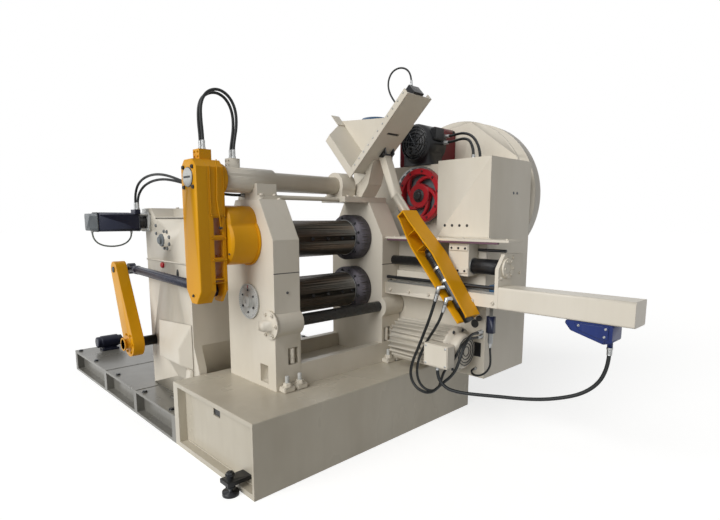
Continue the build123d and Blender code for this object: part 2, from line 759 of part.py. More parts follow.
blue_x, blue_y = 840, 240
with BuildPart() as blower_motor:
    with BuildSketch(Plane.XY.offset(drive_top_z)):
        with Locations((blue_x, blue_y)):
            Circle(150)
    extrude(amount=440)
    chamfer(blower_motor.faces().sort_by(Axis.Z)[-1].edges(), 44)
blower_motor.part.label = "blower_motor"
export_step(blower_motor.part, "parts/blower_motor.step")

# Feed guideway
with BuildPart() as guideway_frame:
    with BuildSketch(Plane.YZ.offset(rail_left)):
        with Locations(((rail_back + rail_front) / 2, (rail_bottom_z + rail_top_z) / 2)):
            Rectangle(rail_back - rail_front, rail_top_z - rail_bottom_z)
    extrude(amount=drive_left - rail_left)
    # the length beyond the drive housing's front is closed by the end plate
    with BuildSketch(Plane.XZ.offset(-rail_front)):
        with BuildLine():
            Polyline((rail_left, rail_bottom_z), (rail_left + 300, rail_bottom_z),
                     (rail_left + 300, end_plate_top_z), (rail_left + 70, end_plate_top_z),
                     (rail_left, end_plate_top_z - 90), close=True)
        make_face()
    extrude(amount=-end_plate_thickness)
    with BuildSketch(Plane.XZ.offset(-rail_front)):
        with Locations((guide_shaft_x, guide_shaft_z)):
            Circle(guide_shaft_radius + guide_shaft_clearance)
    extrude(amount=-end_plate_thickness, mode=Mode.SUBTRACT)
    # ledge plate over the guideway, welded to the housing wall and the end plate
    with BuildSketch(Plane.XY.offset(drive_ledge_z - ledge_thickness)):
        with Locations(((ledge_left + drive_left) / 2, (rail_back + ledge_front) / 2)):
            Rectangle(drive_left - ledge_left, rail_back - ledge_front)
    extrude(amount=ledge_thickness)
    with BuildSketch(Plane.YZ.offset(drive_left - 20)):
        with Locations(((drive_front + rail_back) / 2, (rail_top_z + drive_ledge_z) / 2)):
            Rectangle(rail_back - drive_front, drive_ledge_z - rail_top_z)
    extrude(amount=20)
guideway_frame.part.label = "guideway_frame"
export_step(guideway_frame.part, "parts/guideway_frame.step")

with BuildPart() as guide_shaft:
    with BuildSketch(Plane.XZ.offset(-rail_front)):
        with Locations((guide_shaft_x, guide_shaft_z)):
            Circle(guide_shaft_radius)
    extrude(amount=-(rail_back - rail_front))
    with BuildSketch(Plane.XZ.offset(-rail_front - end_plate_thickness)):
        with Locations((guide_shaft_x, guide_shaft_z)):
            Circle(barrel_radius)
    extrude(amount=-(carriage_front - 8 - rail_front - end_plate_thickness))
guide_shaft.part.label = "guide_shaft"
export_step(guide_shaft.part, "parts/guide_shaft.step")

with BuildPart() as carriage:
    with BuildSketch(Plane.XZ.offset(-carriage_front)):
        with Locations(((carriage_left + carriage_right) / 2, (carriage_bottom_z + carriage_top_z) / 2)):
            Rectangle(carriage_right - carriage_left, carriage_top_z - carriage_bottom_z)
        with Locations((guide_shaft_x, guide_shaft_z)):
            Circle(guide_shaft_radius + guide_shaft_clearance, mode=Mode.SUBTRACT)
    extrude(amount=-(carriage_back - carriage_front))
carriage.part.label = "carriage"
export_step(carriage.part, "parts/carriage.step")

with BuildPart() as feed_beam:
    with BuildSketch(Plane.XZ.offset(-rail_front)):
        with Locations((rail_left + beam_width / 2, (beam_bottom_z + beam_top_z) / 2)):
            RectangleRounded(beam_width, beam_top_z - beam_bottom_z, 12)
    extrude(amount=rail_front - beam_front)
    with BuildSketch(Plane.XZ.offset(-rail_front)):
        with Locations((rail_left + beam_width / 2, (beam_bottom_z + beam_top_z) / 2)):
            Rectangle(beam_width - 2 * beam_wall, beam_top_z - beam_bottom_z - 2 * beam_wall)
    extrude(amount=rail_front - beam_front - beam_wall, mode=Mode.SUBTRACT)
feed_beam.part.label = "feed_beam"
export_step(feed_beam.part, "parts/feed_beam.step")

motor_hose_points = [
    (509, -1893, 850), (509, -1893, 790), (505, -1884, 722), (497, -1862, 656), (484, -1818, 598),
    (466, -1756, 552), (446, -1676, 518), (424, -1576, 486), (400, -1450, 462), (374, -1320, 448),
    (340, -1210, 438), (304, -1120, 434), (274, -1050, 438), (257, -1004, 448), (246, -965, 474),
    (241, -939, 513), (240, -930, 560), (240, -930, 593),
]
with BuildPart() as feed_motor:
    with BuildSketch(Plane.YZ.offset(rail_left + 15)):
        with BuildLine():
            Polyline((-1925, beam_bottom_z), (-1650, beam_bottom_z), (-1700, beam_bottom_z - 60),
                     (-1880, beam_bottom_z - 112), (-1925, beam_bottom_z - 100), close=True)
        make_face()
    extrude(amount=beam_width - 30)
    fillet(feed_motor.edges().filter_by(Axis.X), 16)
    # gland for the motor's conduit underneath
    with BuildSketch(Plane.XY.offset(motor_hose_points[0][2])):
        with Locations(motor_hose_points[0][:2]):
            Circle(gland_radius)
    extrude(amount=50)
feed_motor.part.label = "feed_motor"
export_step(feed_motor.part, "parts/feed_motor.step")

pump_x, pump_z = 438, 668
box_y, box_length, box_height = -940, 190, 150
box_seat = 160
pump_back, pump_front = -440, -985
with BuildPart() as pump_motor:
    with BuildSketch(Plane.XZ.offset(-pump_back)):
        with Locations((pump_x, pump_z)):
            Circle(125)
            with PolarLocations(138, 24):
                Rectangle(36, 6)
    extrude(amount=pump_back - pump_front - 60)
    with BuildSketch(Plane.XZ.offset(-pump_front - 60)):
        with Locations((pump_x, pump_z)):
            Circle(156)
    extrude(amount=22)
    with BuildSketch(Plane.YZ.offset(pump_x)):
        with Locations(((pump_back + pump_front) / 2, pump_z)):
            Rectangle(220, 90)
    extrude(amount=drive_left - pump_x)
    with BuildSketch(Plane.YZ.offset(pump_x - box_seat)):
        with Locations((box_y + 45, pump_z)):
            Rectangle(80, box_height - 50)
    extrude(amount=box_seat)
    # fan cover on the front end
    with BuildSketch(Plane.XZ.offset(-pump_front - 38)):
        with Locations((pump_x, pump_z)):
            Circle(118)
    extrude(amount=70)
    chamfer(pump_motor.faces().sort_by(Axis.Y)[0].edges(), 14)
pump_motor.part.label = "pump_motor"
export_step(pump_motor.part, "parts/pump_motor.step")

with BuildPart() as terminal_box:
    with BuildSketch(Plane.YZ.offset(pump_x - box_seat)):
        with Locations((box_y, pump_z)):
            RectangleRounded(box_length, box_height, 8)
    extrude(amount=-76)
terminal_box.part.label = "terminal_box"
export_step(terminal_box.part, "parts/terminal_box.step")

valve_x, valve_y = 500, -1159
with BuildPart() as drain_valve:
    with BuildSketch(Plane.XY.offset(rail_bottom_z)):
        with Locations((valve_x, valve_y)):
            Circle(12)
    extrude(amount=-70)
    with BuildSketch(Plane.XY.offset(rail_bottom_z - 70)):
        with Locations((valve_x, valve_y)):
            RegularPolygon(30, 6)
    extrude(amount=-110)
    with BuildSketch(Plane.XY.offset(rail_bottom_z - 180)):
        with Locations((valve_x, valve_y)):
            Circle(16)
    extrude(amount=-70)
drain_valve.part.label = "drain_valve"
export_step(drain_valve.part, "parts/drain_valve.step")

# Feed arm with its hydraulic cylinder
arm_axis = Vector(0, arm_end_y - arm_top_y, arm_end_z - arm_top_z)
feed_arm_length = arm_axis.length
arm_mid_x = (feed_arm_left + feed_arm_right - feed_arm_wall) / 2
cylinder_start, cylinder_end = 345, 775


def arm_point(distance):
    """Point (y, z) on the feed arm's middle line, a distance down from its top end."""
    point = Vector(0, arm_top_y, arm_top_z) + arm_axis.normalized() * distance
    return point.Y, point.Z


# plane on the arm's open side: local x runs down the arm, local y towards its lower side
arm_plane = Plane(origin=(feed_arm_left, arm_top_y, arm_top_z), x_dir=arm_axis, z_dir=(1, 0, 0))
arm_outline_low = [(0, 34), (40, 34), (148, 54), (243, 66), (feed_arm_length, 46)]
arm_outline_high = [(feed_arm_length, -44), (382, -66), (142, -40), (76, -34), (0, -34)]

with BuildPart() as feed_arm:
    with BuildSketch(arm_plane):
        with BuildLine():
            Polyline(*arm_outline_low, *arm_outline_high, close=True)
        make_face()
        offset(amount=-feed_arm_wall, mode=Mode.SUBTRACT)
        with Locations((feed_arm_length, 0)):
            Rectangle(2 * feed_arm_wall, 60, mode=Mode.SUBTRACT)
    extrude(amount=feed_arm_right - feed_arm_left - feed_arm_wall)
    with BuildSketch(arm_plane.offset(feed_arm_right - feed_arm_left - feed_arm_wall)):
        with BuildLine():
            Polyline(*arm_outline_low, *arm_outline_high, close=True)
        make_face()
    extrude(amount=feed_arm_wall)
    # pin that carries the cylinder's eye
    with BuildSketch(Plane.YZ.offset(arm_mid_x + 20)):
        with Locations(arm_point(cylinder_end + 30)):
            Circle(14)
    extrude(amount=feed_arm_right - feed_arm_wall - arm_mid_x - 20)
feed_arm.part.label = "feed_arm"
export_step(feed_arm.part, "parts/feed_arm.step")


def across_arm(distance, sideways=0.0):
    """Plane across the feed arm, a distance down from its top end and sideways to its upper side."""
    along = arm_axis.normalized()
    up = along.cross(Vector(1, 0, 0))
    origin = Vector(arm_mid_x, arm_top_y, arm_top_z) + along * distance + up * sideways
    return Plane(origin=origin, x_dir=(1, 0, 0), z_dir=along)


rod_bore_clearance = 0.05
port_radius = 12
feed_hose_left_points = [
    (258, -901, 1070), (258, -872, 976), (262, -833, 874), (266, -785, 768), (265, -745, 672),
    (264, -706, 588), (264, -683, 512), (265, -682, 464), (267, -698, 420), (270, -730, 387),
    (273, -773, 370), (276, -820, 369), (279, -864, 385), (280, -903, 421), (276, -956, 476),
    (269, -1018, 530), (264, -1062, 594), (270, -1082, 664), (304, -1084, 728), (366, -1072, 772),
    (446, -1050, 790), (522, -1034, 782), (599, -1034, 782),
]
feed_hose_right_points = [
    (258, -966, 1004), (258, -936, 914), (259, -886, 830), (261, -830, 748), (265, -784, 668),
    (271, -748, 598), (279, -728, 532), (287, -722, 474), (292, -735, 424), (297, -769, 389),
    (301, -817, 376), (304, -864, 388), (306, -899, 423), (307, -914, 472), (306, -930, 526),
    (303, -962, 574), (300, -1000, 618), (302, -1030, 666), (320, -1044, 714), (360, -1048, 746),
    (414, -1044, 760), (474, -1038, 758), (537, -1034, 748), (599, -1034, 748),
]
gland_length = 26
piston_rod_radius = 13
with BuildPart() as lift_cylinder:
    with BuildSketch(across_arm(cylinder_start)):
        Circle(cylinder_radius)
    extrude(amount=cylinder_end - cylinder_start)
    with BuildSketch(across_arm(cylinder_start - gland_length)):
        Circle(cylinder_radius - 8)
    extrude(amount=gland_length)
    with BuildSketch(across_arm(cylinder_end)):
        Rectangle(40, 54)
    extrude(amount=feed_arm_length - cylinder_end + 16)
    with BuildSketch(across_arm(cylinder_start - gland_length)):
        Circle(piston_rod_radius + rod_bore_clearance)
    extrude(amount=300, mode=Mode.SUBTRACT)
    # ports with elbows that meet the two hoses
    for points in (feed_hose_left_points, feed_hose_right_points):
        start, after = Vector(*points[0]), Vector(*points[1])
        port = start + (start - after).normalized() * elbow_length
        with BuildSketch(Plane(origin=start, z_dir=start - after)):
            Circle(elbow_radius)
        extrude(amount=elbow_length)
        with BuildSketch(Plane.YZ.offset(port.X - port_radius)):
            with Locations((port.Y, port.Z)):
                Circle(elbow_radius)
        extrude(amount=arm_mid_x - 10 - port.X)
lift_cylinder.part.label = "lift_cylinder"
export_step(lift_cylinder.part, "parts/lift_cylinder.step")

rod_top, rod_stroke = 24, 40
with BuildPart() as piston_rod:
    with BuildSketch(across_arm(rod_top)):
        Circle(9)
    extrude(amount=cylinder_start - gland_length - rod_stroke - 6 - rod_top)
    with BuildSketch(across_arm(rod_top)):
        RegularPolygon(15, 6)
    extrude(amount=30)
    with BuildSketch(across_arm(cylinder_start - gland_length - rod_stroke - 6)):
        Circle(piston_rod_radius)
    extrude(amount=rod_stroke + 6 + 200)
piston_rod.part.label = "piston_rod"
export_step(piston_rod.part, "parts/piston_rod.step")

strut_radius, strut_length = 33, 152

# Chute and magazine
chute_axis = Vector(0, chute_high_y - chute_low_y, chute_high_z - chute_low_z)
chute_length = chute_axis.length
chute_mid = (chute_left + chute_right) / 2


def across_chute(distance):
    """Plane across the chute, a distance up from its low end; local y points off its top side."""
    origin = Vector(chute_mid, chute_low_y, chute_low_z) + chute_axis.normalized() * distance
    return Plane(origin=origin, x_dir=(1, 0, 0), z_dir=chute_axis)


def chute_point(distance, below=0.0):
    """Point (y, z) on the chute's underside or below it, a distance up from its low end."""
    along = chute_axis.normalized()
    point = Vector(0, chute_low_y, chute_low_z) + along * distance - along.cross(Vector(1, 0, 0)) * below
    return point.Y, point.Z


# plane on the chute's left side: local x runs up the chute, local y off its top side
chute_side = Plane(origin=(chute_left, chute_low_y, chute_low_z), x_dir=chute_axis, z_dir=(-1, 0, 0))
chute_width = chute_right - chute_left
plate_top = housing_top_z + mount_plate_thickness
stop_radius, stop_start, stop_length = 13, 60, 190
with BuildPart() as chute:
    with BuildSketch(across_chute(0)):
        with Locations((0, chute_plate / 2)):
            Rectangle(chute_width, chute_plate)
        for side in (-1, 1):
            with Locations((side * (chute_width - chute_plate) / 2, chute_flange / 2)):
                Rectangle(chute_plate, chute_flange)
    extrude(amount=chute_length)
    with BuildSketch(Plane(origin=(chute_mid, chute_low_y, chute_low_z), x_dir=(1, 0, 0),
                           z_dir=Vector(1, 0, 0).cross(chute_axis))):
        with Locations((0, chute_length * 0.53)):
            SlotOverall(120, 18)
    extrude(amount=20, both=True, mode=Mode.SUBTRACT)
    # stop rod on its block
    with BuildSketch(across_chute(stop_start)):
        with Locations((-30, chute_plate + 50)):
            Circle(stop_radius)
    extrude(amount=stop_length)
    with BuildSketch(chute_side.offset(-chute_width / 2)):
        with Locations((stop_start + 110, chute_plate + 32)):
            Rectangle(50, 64)
    extrude(amount=60)
chute.part.label = "chute"
export_step(chute.part, "parts/chute.step")

magazine_plate = 10
end_wall_low, end_wall_high = 400, 606
with BuildPart() as magazine:
    # far side panel
    with BuildSketch(chute_side.offset(-chute_width)):
        with BuildLine():
            Polyline((0, 0), (0, end_wall_high), (332, 242), (470, chute_flange), (470, 0), close=True)
        make_face()
    extrude(amount=-magazine_plate)
    # end wall across the chute's low end, with a return flange on the open side
    with BuildSketch(across_chute(0)):
        with BuildLine():
            Polyline((-chute_width / 2, 0), (chute_width / 2 + magazine_plate, 0),
                     (chute_width / 2 + magazine_plate, end_wall_high), (-chute_width / 2, end_wall_low),
                     close=True)
        make_face()
    extrude(amount=-magazine_plate)
    with BuildSketch(chute_side):
        with Locations((-30, end_wall_low / 2)):
            Rectangle(60, end_wall_low)
    extrude(amount=-magazine_plate)
    # grip tab at the top
    with BuildSketch(across_chute(0)):
        with Locations((chute_width / 2 - 40, end_wall_high - 8)):
            Rectangle(80, 110)
    extrude(amount=6)
magazine.part.label = "magazine"
export_step(magazine.part, "parts/magazine.step")

sensor_cable_points = [
    (250, -566.21, 2275.6), (250, -537.73, 2306.48), (253, -503, 2344), (257, -470, 2386), (261, -448, 2436),
    (265, -448, 2486), (273, -470, 2530), (288, -512, 2552), (306, -556, 2546), (318, -586, 2518),
    (324, -600, 2472), (324, -600, 2430),
]
with BuildPart() as sensor_box:
    with BuildSketch(across_chute(chute_length - 60)):
        with Locations((-15, chute_plate + 36)):
            Rectangle(100, 72)
    extrude(amount=76)
    # gland on top for the looped cable
    with BuildSketch(Plane.XY.offset(sensor_cable_points[-1][2])):
        with Locations(sensor_cable_points[-1][:2]):
            Circle(9)
    extrude(amount=-50)
sensor_box.part.label = "sensor_box"
export_step(sensor_box.part, "parts/sensor_box.step")

bracket_left = tube_right_end + 10
post_top = 180
# plate on the right housing with the tie bar to the saddle and the bracket that carries the chute
with BuildPart() as mount_plate:
    with BuildSketch(Plane.XY.offset(housing_top_z)):
        with Locations(((mount_plate_left + housing_outer) / 2, 0)):
            Rectangle(housing_outer - mount_plate_left, housing_top_depth - 20)
    extrude(amount=mount_plate_thickness)
    with BuildSketch(Plane.YZ.offset(bearing_right)):
        with Locations((tube_y - 70, housing_top_z + 18)):
            Circle(15)
    extrude(amount=mount_plate_left - bearing_right)
    with BuildSketch(Plane.YZ.offset(bracket_left)):
        with BuildLine():
            Polyline((-130, plate_top), (40, plate_top), (40, plate_top + 20), chute_point(0, 24),
                     chute_point(14), chute_point(130), (-200, plate_top + 90), close=True)
        make_face()
    extrude(amount=chute_right - bracket_left)
mount_plate.part.label = "mount_plate"
export_step(mount_plate.part, "parts/mount_plate.step")

# tube from the feed arm's top and the boxed post that carries the chute on it
with BuildPart() as chute_post:
    with BuildSketch(across_arm(-strut_length)):
        Rectangle(66, 60)
    with BuildSketch(Plane(origin=(arm_mid_x + 55, *chute_point(post_top)), x_dir=(1, 0, 0),
                           z_dir=Vector(1, 0, 0).cross(chute_axis))):
        Rectangle(72, 60)
    loft()
    with BuildSketch(across_arm(-strut_length)):
        Circle(strut_radius)
    extrude(amount=strut_length)
chute_post.part.label = "chute_post"
export_step(chute_post.part, "parts/chute_post.step")

# Hoses and cables, each swept along its middle line
# hose on the rocker: from the block on the arm's head over to the tube's manifold
rocker_hose_left_points = [
    (-882, -8, 1962), (-882, -8, 2040), (-889, -9, 2124), (-889, -7, 2206), (-870, -8, 2266),
    (-830, -9, 2308), (-770, -8, 2326), (-712, -7, 2306), (-673, -8, 2262), (-653, -9, 2200),
    (-653, -8, 2120), (-668, -7, 2046), (-680, -8, 1985), (-680, -8, 1925),
]
rocker_hose_left_diameter = 18
with BuildPart() as rocker_hose_left:
    with BuildLine() as rocker_hose_left_line:
        FilletPolyline(*rocker_hose_left_points, radius=hose_radius(rocker_hose_left_points))
    with BuildSketch(Plane(origin=rocker_hose_left_line.line @ 0, z_dir=rocker_hose_left_line.line % 0)):
        Circle(rocker_hose_left_diameter / 2)
    sweep()
rocker_hose_left.part.label = "rocker_hose_left"
export_step(rocker_hose_left.part, "parts/rocker_hose_left.step")
print("rocker_hose_left bend radius", round(hose_radius(rocker_hose_left_points)), "mm")

rocker_hose_right_points = [
    (-882, 26, 1962), (-882, 26, 2038), (-888, 27, 2120), (-887, 25, 2198), (-869, 26, 2256),
    (-829, 27, 2296), (-770, 26, 2313), (-714, 25, 2295), (-676, 26, 2251), (-656, 27, 2192),
    (-656, 26, 2114), (-669, 25, 2042), (-680, 26, 1983), (-680, 26, 1925),
]
rocker_hose_right_diameter = 18
with BuildPart() as rocker_hose_right:
    with BuildLine() as rocker_hose_right_line:
        FilletPolyline(*rocker_hose_right_points, radius=hose_radius(rocker_hose_right_points))
    with BuildSketch(Plane(origin=rocker_hose_right_line.line @ 0, z_dir=rocker_hose_right_line.line % 0)):
        Circle(rocker_hose_right_diameter / 2)
    sweep()
rocker_hose_right.part.label = "rocker_hose_right"
export_step(rocker_hose_right.part, "parts/rocker_hose_right.step")
print("rocker_hose_right bend radius", round(hose_radius(rocker_hose_right_points)), "mm")

# hoses from the servo's block to the tube's saddle
servo_hose_front_points = [
    (-868, 1120, 1622), (-868, 1120, 1676), (-861, 1104, 1738), (-849, 1048, 1788), (-841, 960, 1816),
    (-838, 840, 1830), (-836, 700, 1830), (-834, 560, 1816), (-826, 436, 1794), (-808, 332, 1776),
    (-778, 250, 1764), (-734, 180, 1757), (-684, 130, 1749), (-632, 98, 1738), (-601, 88, 1733),
    (-570, 88, 1733),
]
servo_hose_front_diameter = 18
with BuildPart() as servo_hose_front:
    with BuildLine() as servo_hose_front_line:
        FilletPolyline(*servo_hose_front_points, radius=hose_radius(servo_hose_front_points))
    with BuildSketch(Plane(origin=servo_hose_front_line.line @ 0, z_dir=servo_hose_front_line.line % 0)):
        Circle(servo_hose_front_diameter / 2)
    sweep()
servo_hose_front.part.label = "servo_hose_front"
export_step(servo_hose_front.part, "parts/servo_hose_front.step")
print("servo_hose_front bend radius", round(hose_radius(servo_hose_front_points)), "mm")

servo_hose_back_points = [
    (-868, 1165, 1622), (-868, 1165, 1678), (-868, 1150, 1748), (-870, 1090, 1808), (-869, 990, 1846),
    (-868, 860, 1864), (-868, 710, 1864), (-867, 560, 1846), (-860, 426, 1816), (-842, 312, 1780),
    (-808, 222, 1748), (-756, 150, 1724), (-696, 100, 1709), (-644, 74, 1704), (-606, 64, 1704),
    (-570, 64, 1704),
]
servo_hose_back_diameter = 18
with BuildPart() as servo_hose_back:
    with BuildLine() as servo_hose_back_line:
        FilletPolyline(*servo_hose_back_points, radius=hose_radius(servo_hose_back_points))
    with BuildSketch(Plane(origin=servo_hose_back_line.line @ 0, z_dir=servo_hose_back_line.line % 0)):
        Circle(servo_hose_back_diameter / 2)
    sweep()
servo_hose_back.part.label = "servo_hose_back"
export_step(servo_hose_back.part, "parts/servo_hose_back.step")
print("servo_hose_back bend radius", round(hose_radius(servo_hose_back_points)), "mm")

# cable that hangs under the servo
servo_cable_points = [
    (-1185, 1185, 1465), (-1185, 1185, 1434), (-1175, 1187, 1400), (-1150, 1190, 1370),
    (-1114, 1189, 1352), (-1070, 1186, 1344), (-1024, 1185, 1344), (-978, 1188, 1352),
    (-940, 1190, 1370), (-915, 1188, 1398), (-905, 1185, 1428), (-905, 1185, 1457),
]
servo_cable_diameter = 12
with BuildPart() as servo_cable:
    with BuildLine() as servo_cable_line:
        FilletPolyline(*servo_cable_points, radius=hose_radius(servo_cable_points))
    with BuildSketch(Plane(origin=servo_cable_line.line @ 0, z_dir=servo_cable_line.line % 0)):
        Circle(servo_cable_diameter / 2)
    sweep()
servo_cable.part.label = "servo_cable"
export_step(servo_cable.part, "parts/servo_cable.step")
print("servo_cable bend radius", round(hose_radius(servo_cable_points)), "mm")

# hoses from the lift cylinder's ports down and round to the drive housing's wall
feed_hose_left_diameter = 20
with BuildPart() as feed_hose_left:
    with BuildLine() as feed_hose_left_line:
        FilletPolyline(*feed_hose_left_points, radius=hose_radius(feed_hose_left_points))
    with BuildSketch(Plane(origin=feed_hose_left_line.line @ 0, z_dir=feed_hose_left_line.line % 0)):
        Circle(feed_hose_left_diameter / 2)
    sweep()
feed_hose_left.part.label = "feed_hose_left"
export_step(feed_hose_left.part, "parts/feed_hose_left.step")
print("feed_hose_left bend radius", round(hose_radius(feed_hose_left_points)), "mm")

feed_hose_right_diameter = 18
with BuildPart() as feed_hose_right:
    with BuildLine() as feed_hose_right_line:
        FilletPolyline(*feed_hose_right_points, radius=hose_radius(feed_hose_right_points))
    with BuildSketch(Plane(origin=feed_hose_right_line.line @ 0, z_dir=feed_hose_right_line.line % 0)):
        Circle(feed_hose_right_diameter / 2)
    sweep()
feed_hose_right.part.label = "feed_hose_right"
export_step(feed_hose_right.part, "parts/feed_hose_right.step")
print("feed_hose_right bend radius", round(hose_radius(feed_hose_right_points)), "mm")

# conduit from the feed motor to the terminal box
motor_hose_diameter = 22
with BuildPart() as motor_hose:
    with BuildLine() as motor_hose_line:
        FilletPolyline(*motor_hose_points, radius=hose_radius(motor_hose_points))
    with BuildSketch(Plane(origin=motor_hose_line.line @ 0, z_dir=motor_hose_line.line % 0)):
        Circle(motor_hose_diameter / 2)
    sweep()
motor_hose.part.label = "motor_hose"
export_step(motor_hose.part, "parts/motor_hose.step")
print("motor_hose bend radius", round(hose_radius(motor_hose_points)), "mm")

# hose from the drain valve to the wall
valve_hose_points = [
    (500, -1159, 740), (500, -1159, 694), (500, -1166, 642), (498, -1168, 592), (492, -1150, 548),
    (486, -1114, 514), (486, -1068, 500), (502, -1026, 502), (534, -1002, 512), (568, -996, 514),
    (599, -996, 514),
]
valve_hose_diameter = 14
with BuildPart() as valve_hose:
    with BuildLine() as valve_hose_line:
        FilletPolyline(*valve_hose_points, radius=hose_radius(valve_hose_points))
    with BuildSketch(Plane(origin=valve_hose_line.line @ 0, z_dir=valve_hose_line.line % 0)):
        Circle(valve_hose_diameter / 2)
    sweep()
valve_hose.part.label = "valve_hose"
export_step(valve_hose.part, "parts/valve_hose.step")
print("valve_hose bend radius", round(hose_radius(valve_hose_points)), "mm")

# cable looped over the chute's top
sensor_cable_diameter = 12
with BuildPart() as sensor_cable:
    with BuildLine() as sensor_cable_line:
        FilletPolyline(*sensor_cable_points, radius=hose_radius(sensor_cable_points))
    with BuildSketch(Plane(origin=sensor_cable_line.line @ 0, z_dir=sensor_cable_line.line % 0)):
        Circle(sensor_cable_diameter / 2)
    sweep()
sensor_cable.part.label = "sensor_cable"
export_step(sensor_cable.part, "parts/sensor_cable.step")
print("sensor_cable bend radius", round(hose_radius(sensor_cable_points)), "mm")

# cables from the main motor and the belt guard to the drive housing's top
motor_cable_low_diameter = 20
with BuildPart() as motor_cable_low:
    with BuildLine() as motor_cable_low_line:
        FilletPolyline(*motor_cable_low_points, radius=hose_radius(motor_cable_low_points))
    with BuildSketch(Plane(origin=motor_cable_low_line.line @ 0, z_dir=motor_cable_low_line.line % 0)):
        Circle(motor_cable_low_diameter / 2)
    sweep()
motor_cable_low.part.label = "motor_cable_low"
export_step(motor_cable_low.part, "parts/motor_cable_low.step")
print("motor_cable_low bend radius", round(hose_radius(motor_cable_low_points)), "mm")

motor_cable_high_points = [
    (1000, -390, 2200), (1000, -452, 2200), (992, -526, 2207), (967, -604, 2198), (930, -680, 2168),
    (886, -746, 2124), (848, -794, 2076), (826, -822, 2030), (819, -832, 1994), (819, -832, 1960),
]
motor_cable_high_diameter = 20
with BuildPart() as motor_cable_high:
    with BuildLine() as motor_cable_high_line:
        FilletPolyline(*motor_cable_high_points, radius=hose_radius(motor_cable_high_points))
    with BuildSketch(Plane(origin=motor_cable_high_line.line @ 0, z_dir=motor_cable_high_line.line % 0)):
        Circle(motor_cable_high_diameter / 2)
    sweep()
motor_cable_high.part.label = "motor_cable_high"
export_step(motor_cable_high.part, "parts/motor_cable_high.step")
print("motor_cable_high bend radius", round(hose_radius(motor_cable_high_points)), "mm")
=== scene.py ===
"""Looks of a roll forging machine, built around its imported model.

Every length is in metres, in the model's own frame: the origin lies on the floor under the middle of
the roll pair, +X runs along the rolls to the drive end, +Y to the back and +Z up.
"""

import itertools
import json
import logging
import math
from dataclasses import dataclass, field
from enum import Enum
from typing import Callable, Iterable, Sequence

import bmesh
import bpy
from mathutils import Euler, Matrix, Vector

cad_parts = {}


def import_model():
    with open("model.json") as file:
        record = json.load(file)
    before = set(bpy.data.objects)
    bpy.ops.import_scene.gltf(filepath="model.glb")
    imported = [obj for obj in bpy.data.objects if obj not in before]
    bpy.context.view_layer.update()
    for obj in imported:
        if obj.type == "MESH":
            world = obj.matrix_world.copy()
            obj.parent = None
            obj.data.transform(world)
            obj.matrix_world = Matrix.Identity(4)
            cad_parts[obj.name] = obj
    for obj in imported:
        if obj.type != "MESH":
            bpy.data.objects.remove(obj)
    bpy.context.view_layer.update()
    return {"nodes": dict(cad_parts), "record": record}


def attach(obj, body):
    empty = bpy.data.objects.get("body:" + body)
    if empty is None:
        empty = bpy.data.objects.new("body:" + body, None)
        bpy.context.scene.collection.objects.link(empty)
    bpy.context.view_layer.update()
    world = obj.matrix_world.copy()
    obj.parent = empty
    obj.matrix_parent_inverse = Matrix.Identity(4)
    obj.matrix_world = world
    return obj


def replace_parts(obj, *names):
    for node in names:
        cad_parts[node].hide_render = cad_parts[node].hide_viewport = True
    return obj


log = logging.getLogger("roll_forging_machine")

Colour = tuple[float, float, float]
Point = tuple[float, float, float]
Values = float | tuple[float, ...]
Tree = bpy.types.NodeTree
Node = bpy.types.Node
Socket = bpy.types.NodeSocket
Piece = bpy.types.Object
Vertex = bmesh.types.BMVert
Profile = Sequence[tuple[float, float]]
Look = Callable[[Vector, Vector], "Finish"]

TIP = 1e-6
FULL_TURN = 2 * math.pi


def srgb(code: str) -> Colour:
    """Turn a six-digit hex colour into linear values.

    Args:
        code: The colour as six hex digits.

    Returns:
        Red, green and blue in linear light.
    """
    values = [int(code[i:i + 2], 16) / 255 for i in (0, 2, 4)]
    return tuple(v / 12.92 if v <= 0.04045 else ((v + 0.055) / 1.055) ** 2.4 for v in values)


class Direction(Enum):
    """Row axes that a bolt head or a prism can point along."""

    LEFT = (-1.0, 0.0, 0.0)
    RIGHT = (1.0, 0.0, 0.0)
    FRONT = (0.0, -1.0, 0.0)
    BACK = (0.0, 1.0, 0.0)
    UP = (0.0, 0.0, 1.0)
    DOWN = (0.0, 0.0, -1.0)

    def turn(self) -> Euler:
        """Return the rotation that takes +Z to this direction."""
        return Vector(self.value).to_track_quat("Z", "Y").to_euler()


class BoltStyle(Enum):
    """Kinds of bolt head."""

    HEX = "hex"
    SOCKET = "socket"
    BUTTON = "button"


# Node trees


def feed(tree: Tree, node: Node, inputs: dict[str | int, object]) -> None:
    """Set a node's inputs.

    Args:
        tree: The tree that holds the node.
        node: The node.
        inputs: A value for each input, or the socket that feeds it.
    """
    for key, value in inputs.items():
        if isinstance(value, Socket):
            tree.links.new(value, node.inputs[key])
        else:
            node.inputs[key].default_value = value


def add_node(tree: Tree, kind: str, inputs: dict[str | int, object] | None = None,
             **settings: object) -> Node:
    """Add a node to a tree.

    Args:
        tree: The node tree.
        kind: The node's type.
        inputs: A value for each input, or the socket that feeds it.
        **settings: The node's own options, set before its inputs.

    Returns:
        The node.
    """
    node = tree.nodes.new(kind)
    for name, value in settings.items():
        setattr(node, name, value)
    feed(tree, node, inputs or {})
    return node


def combine(tree: Tree, operation: str, first: object, second: object) -> Socket:
    """Combine two numbers or sockets by a math operation and return the result's socket."""
    return add_node(tree, "ShaderNodeMath", {0: first, 1: second}, operation=operation).outputs[0]


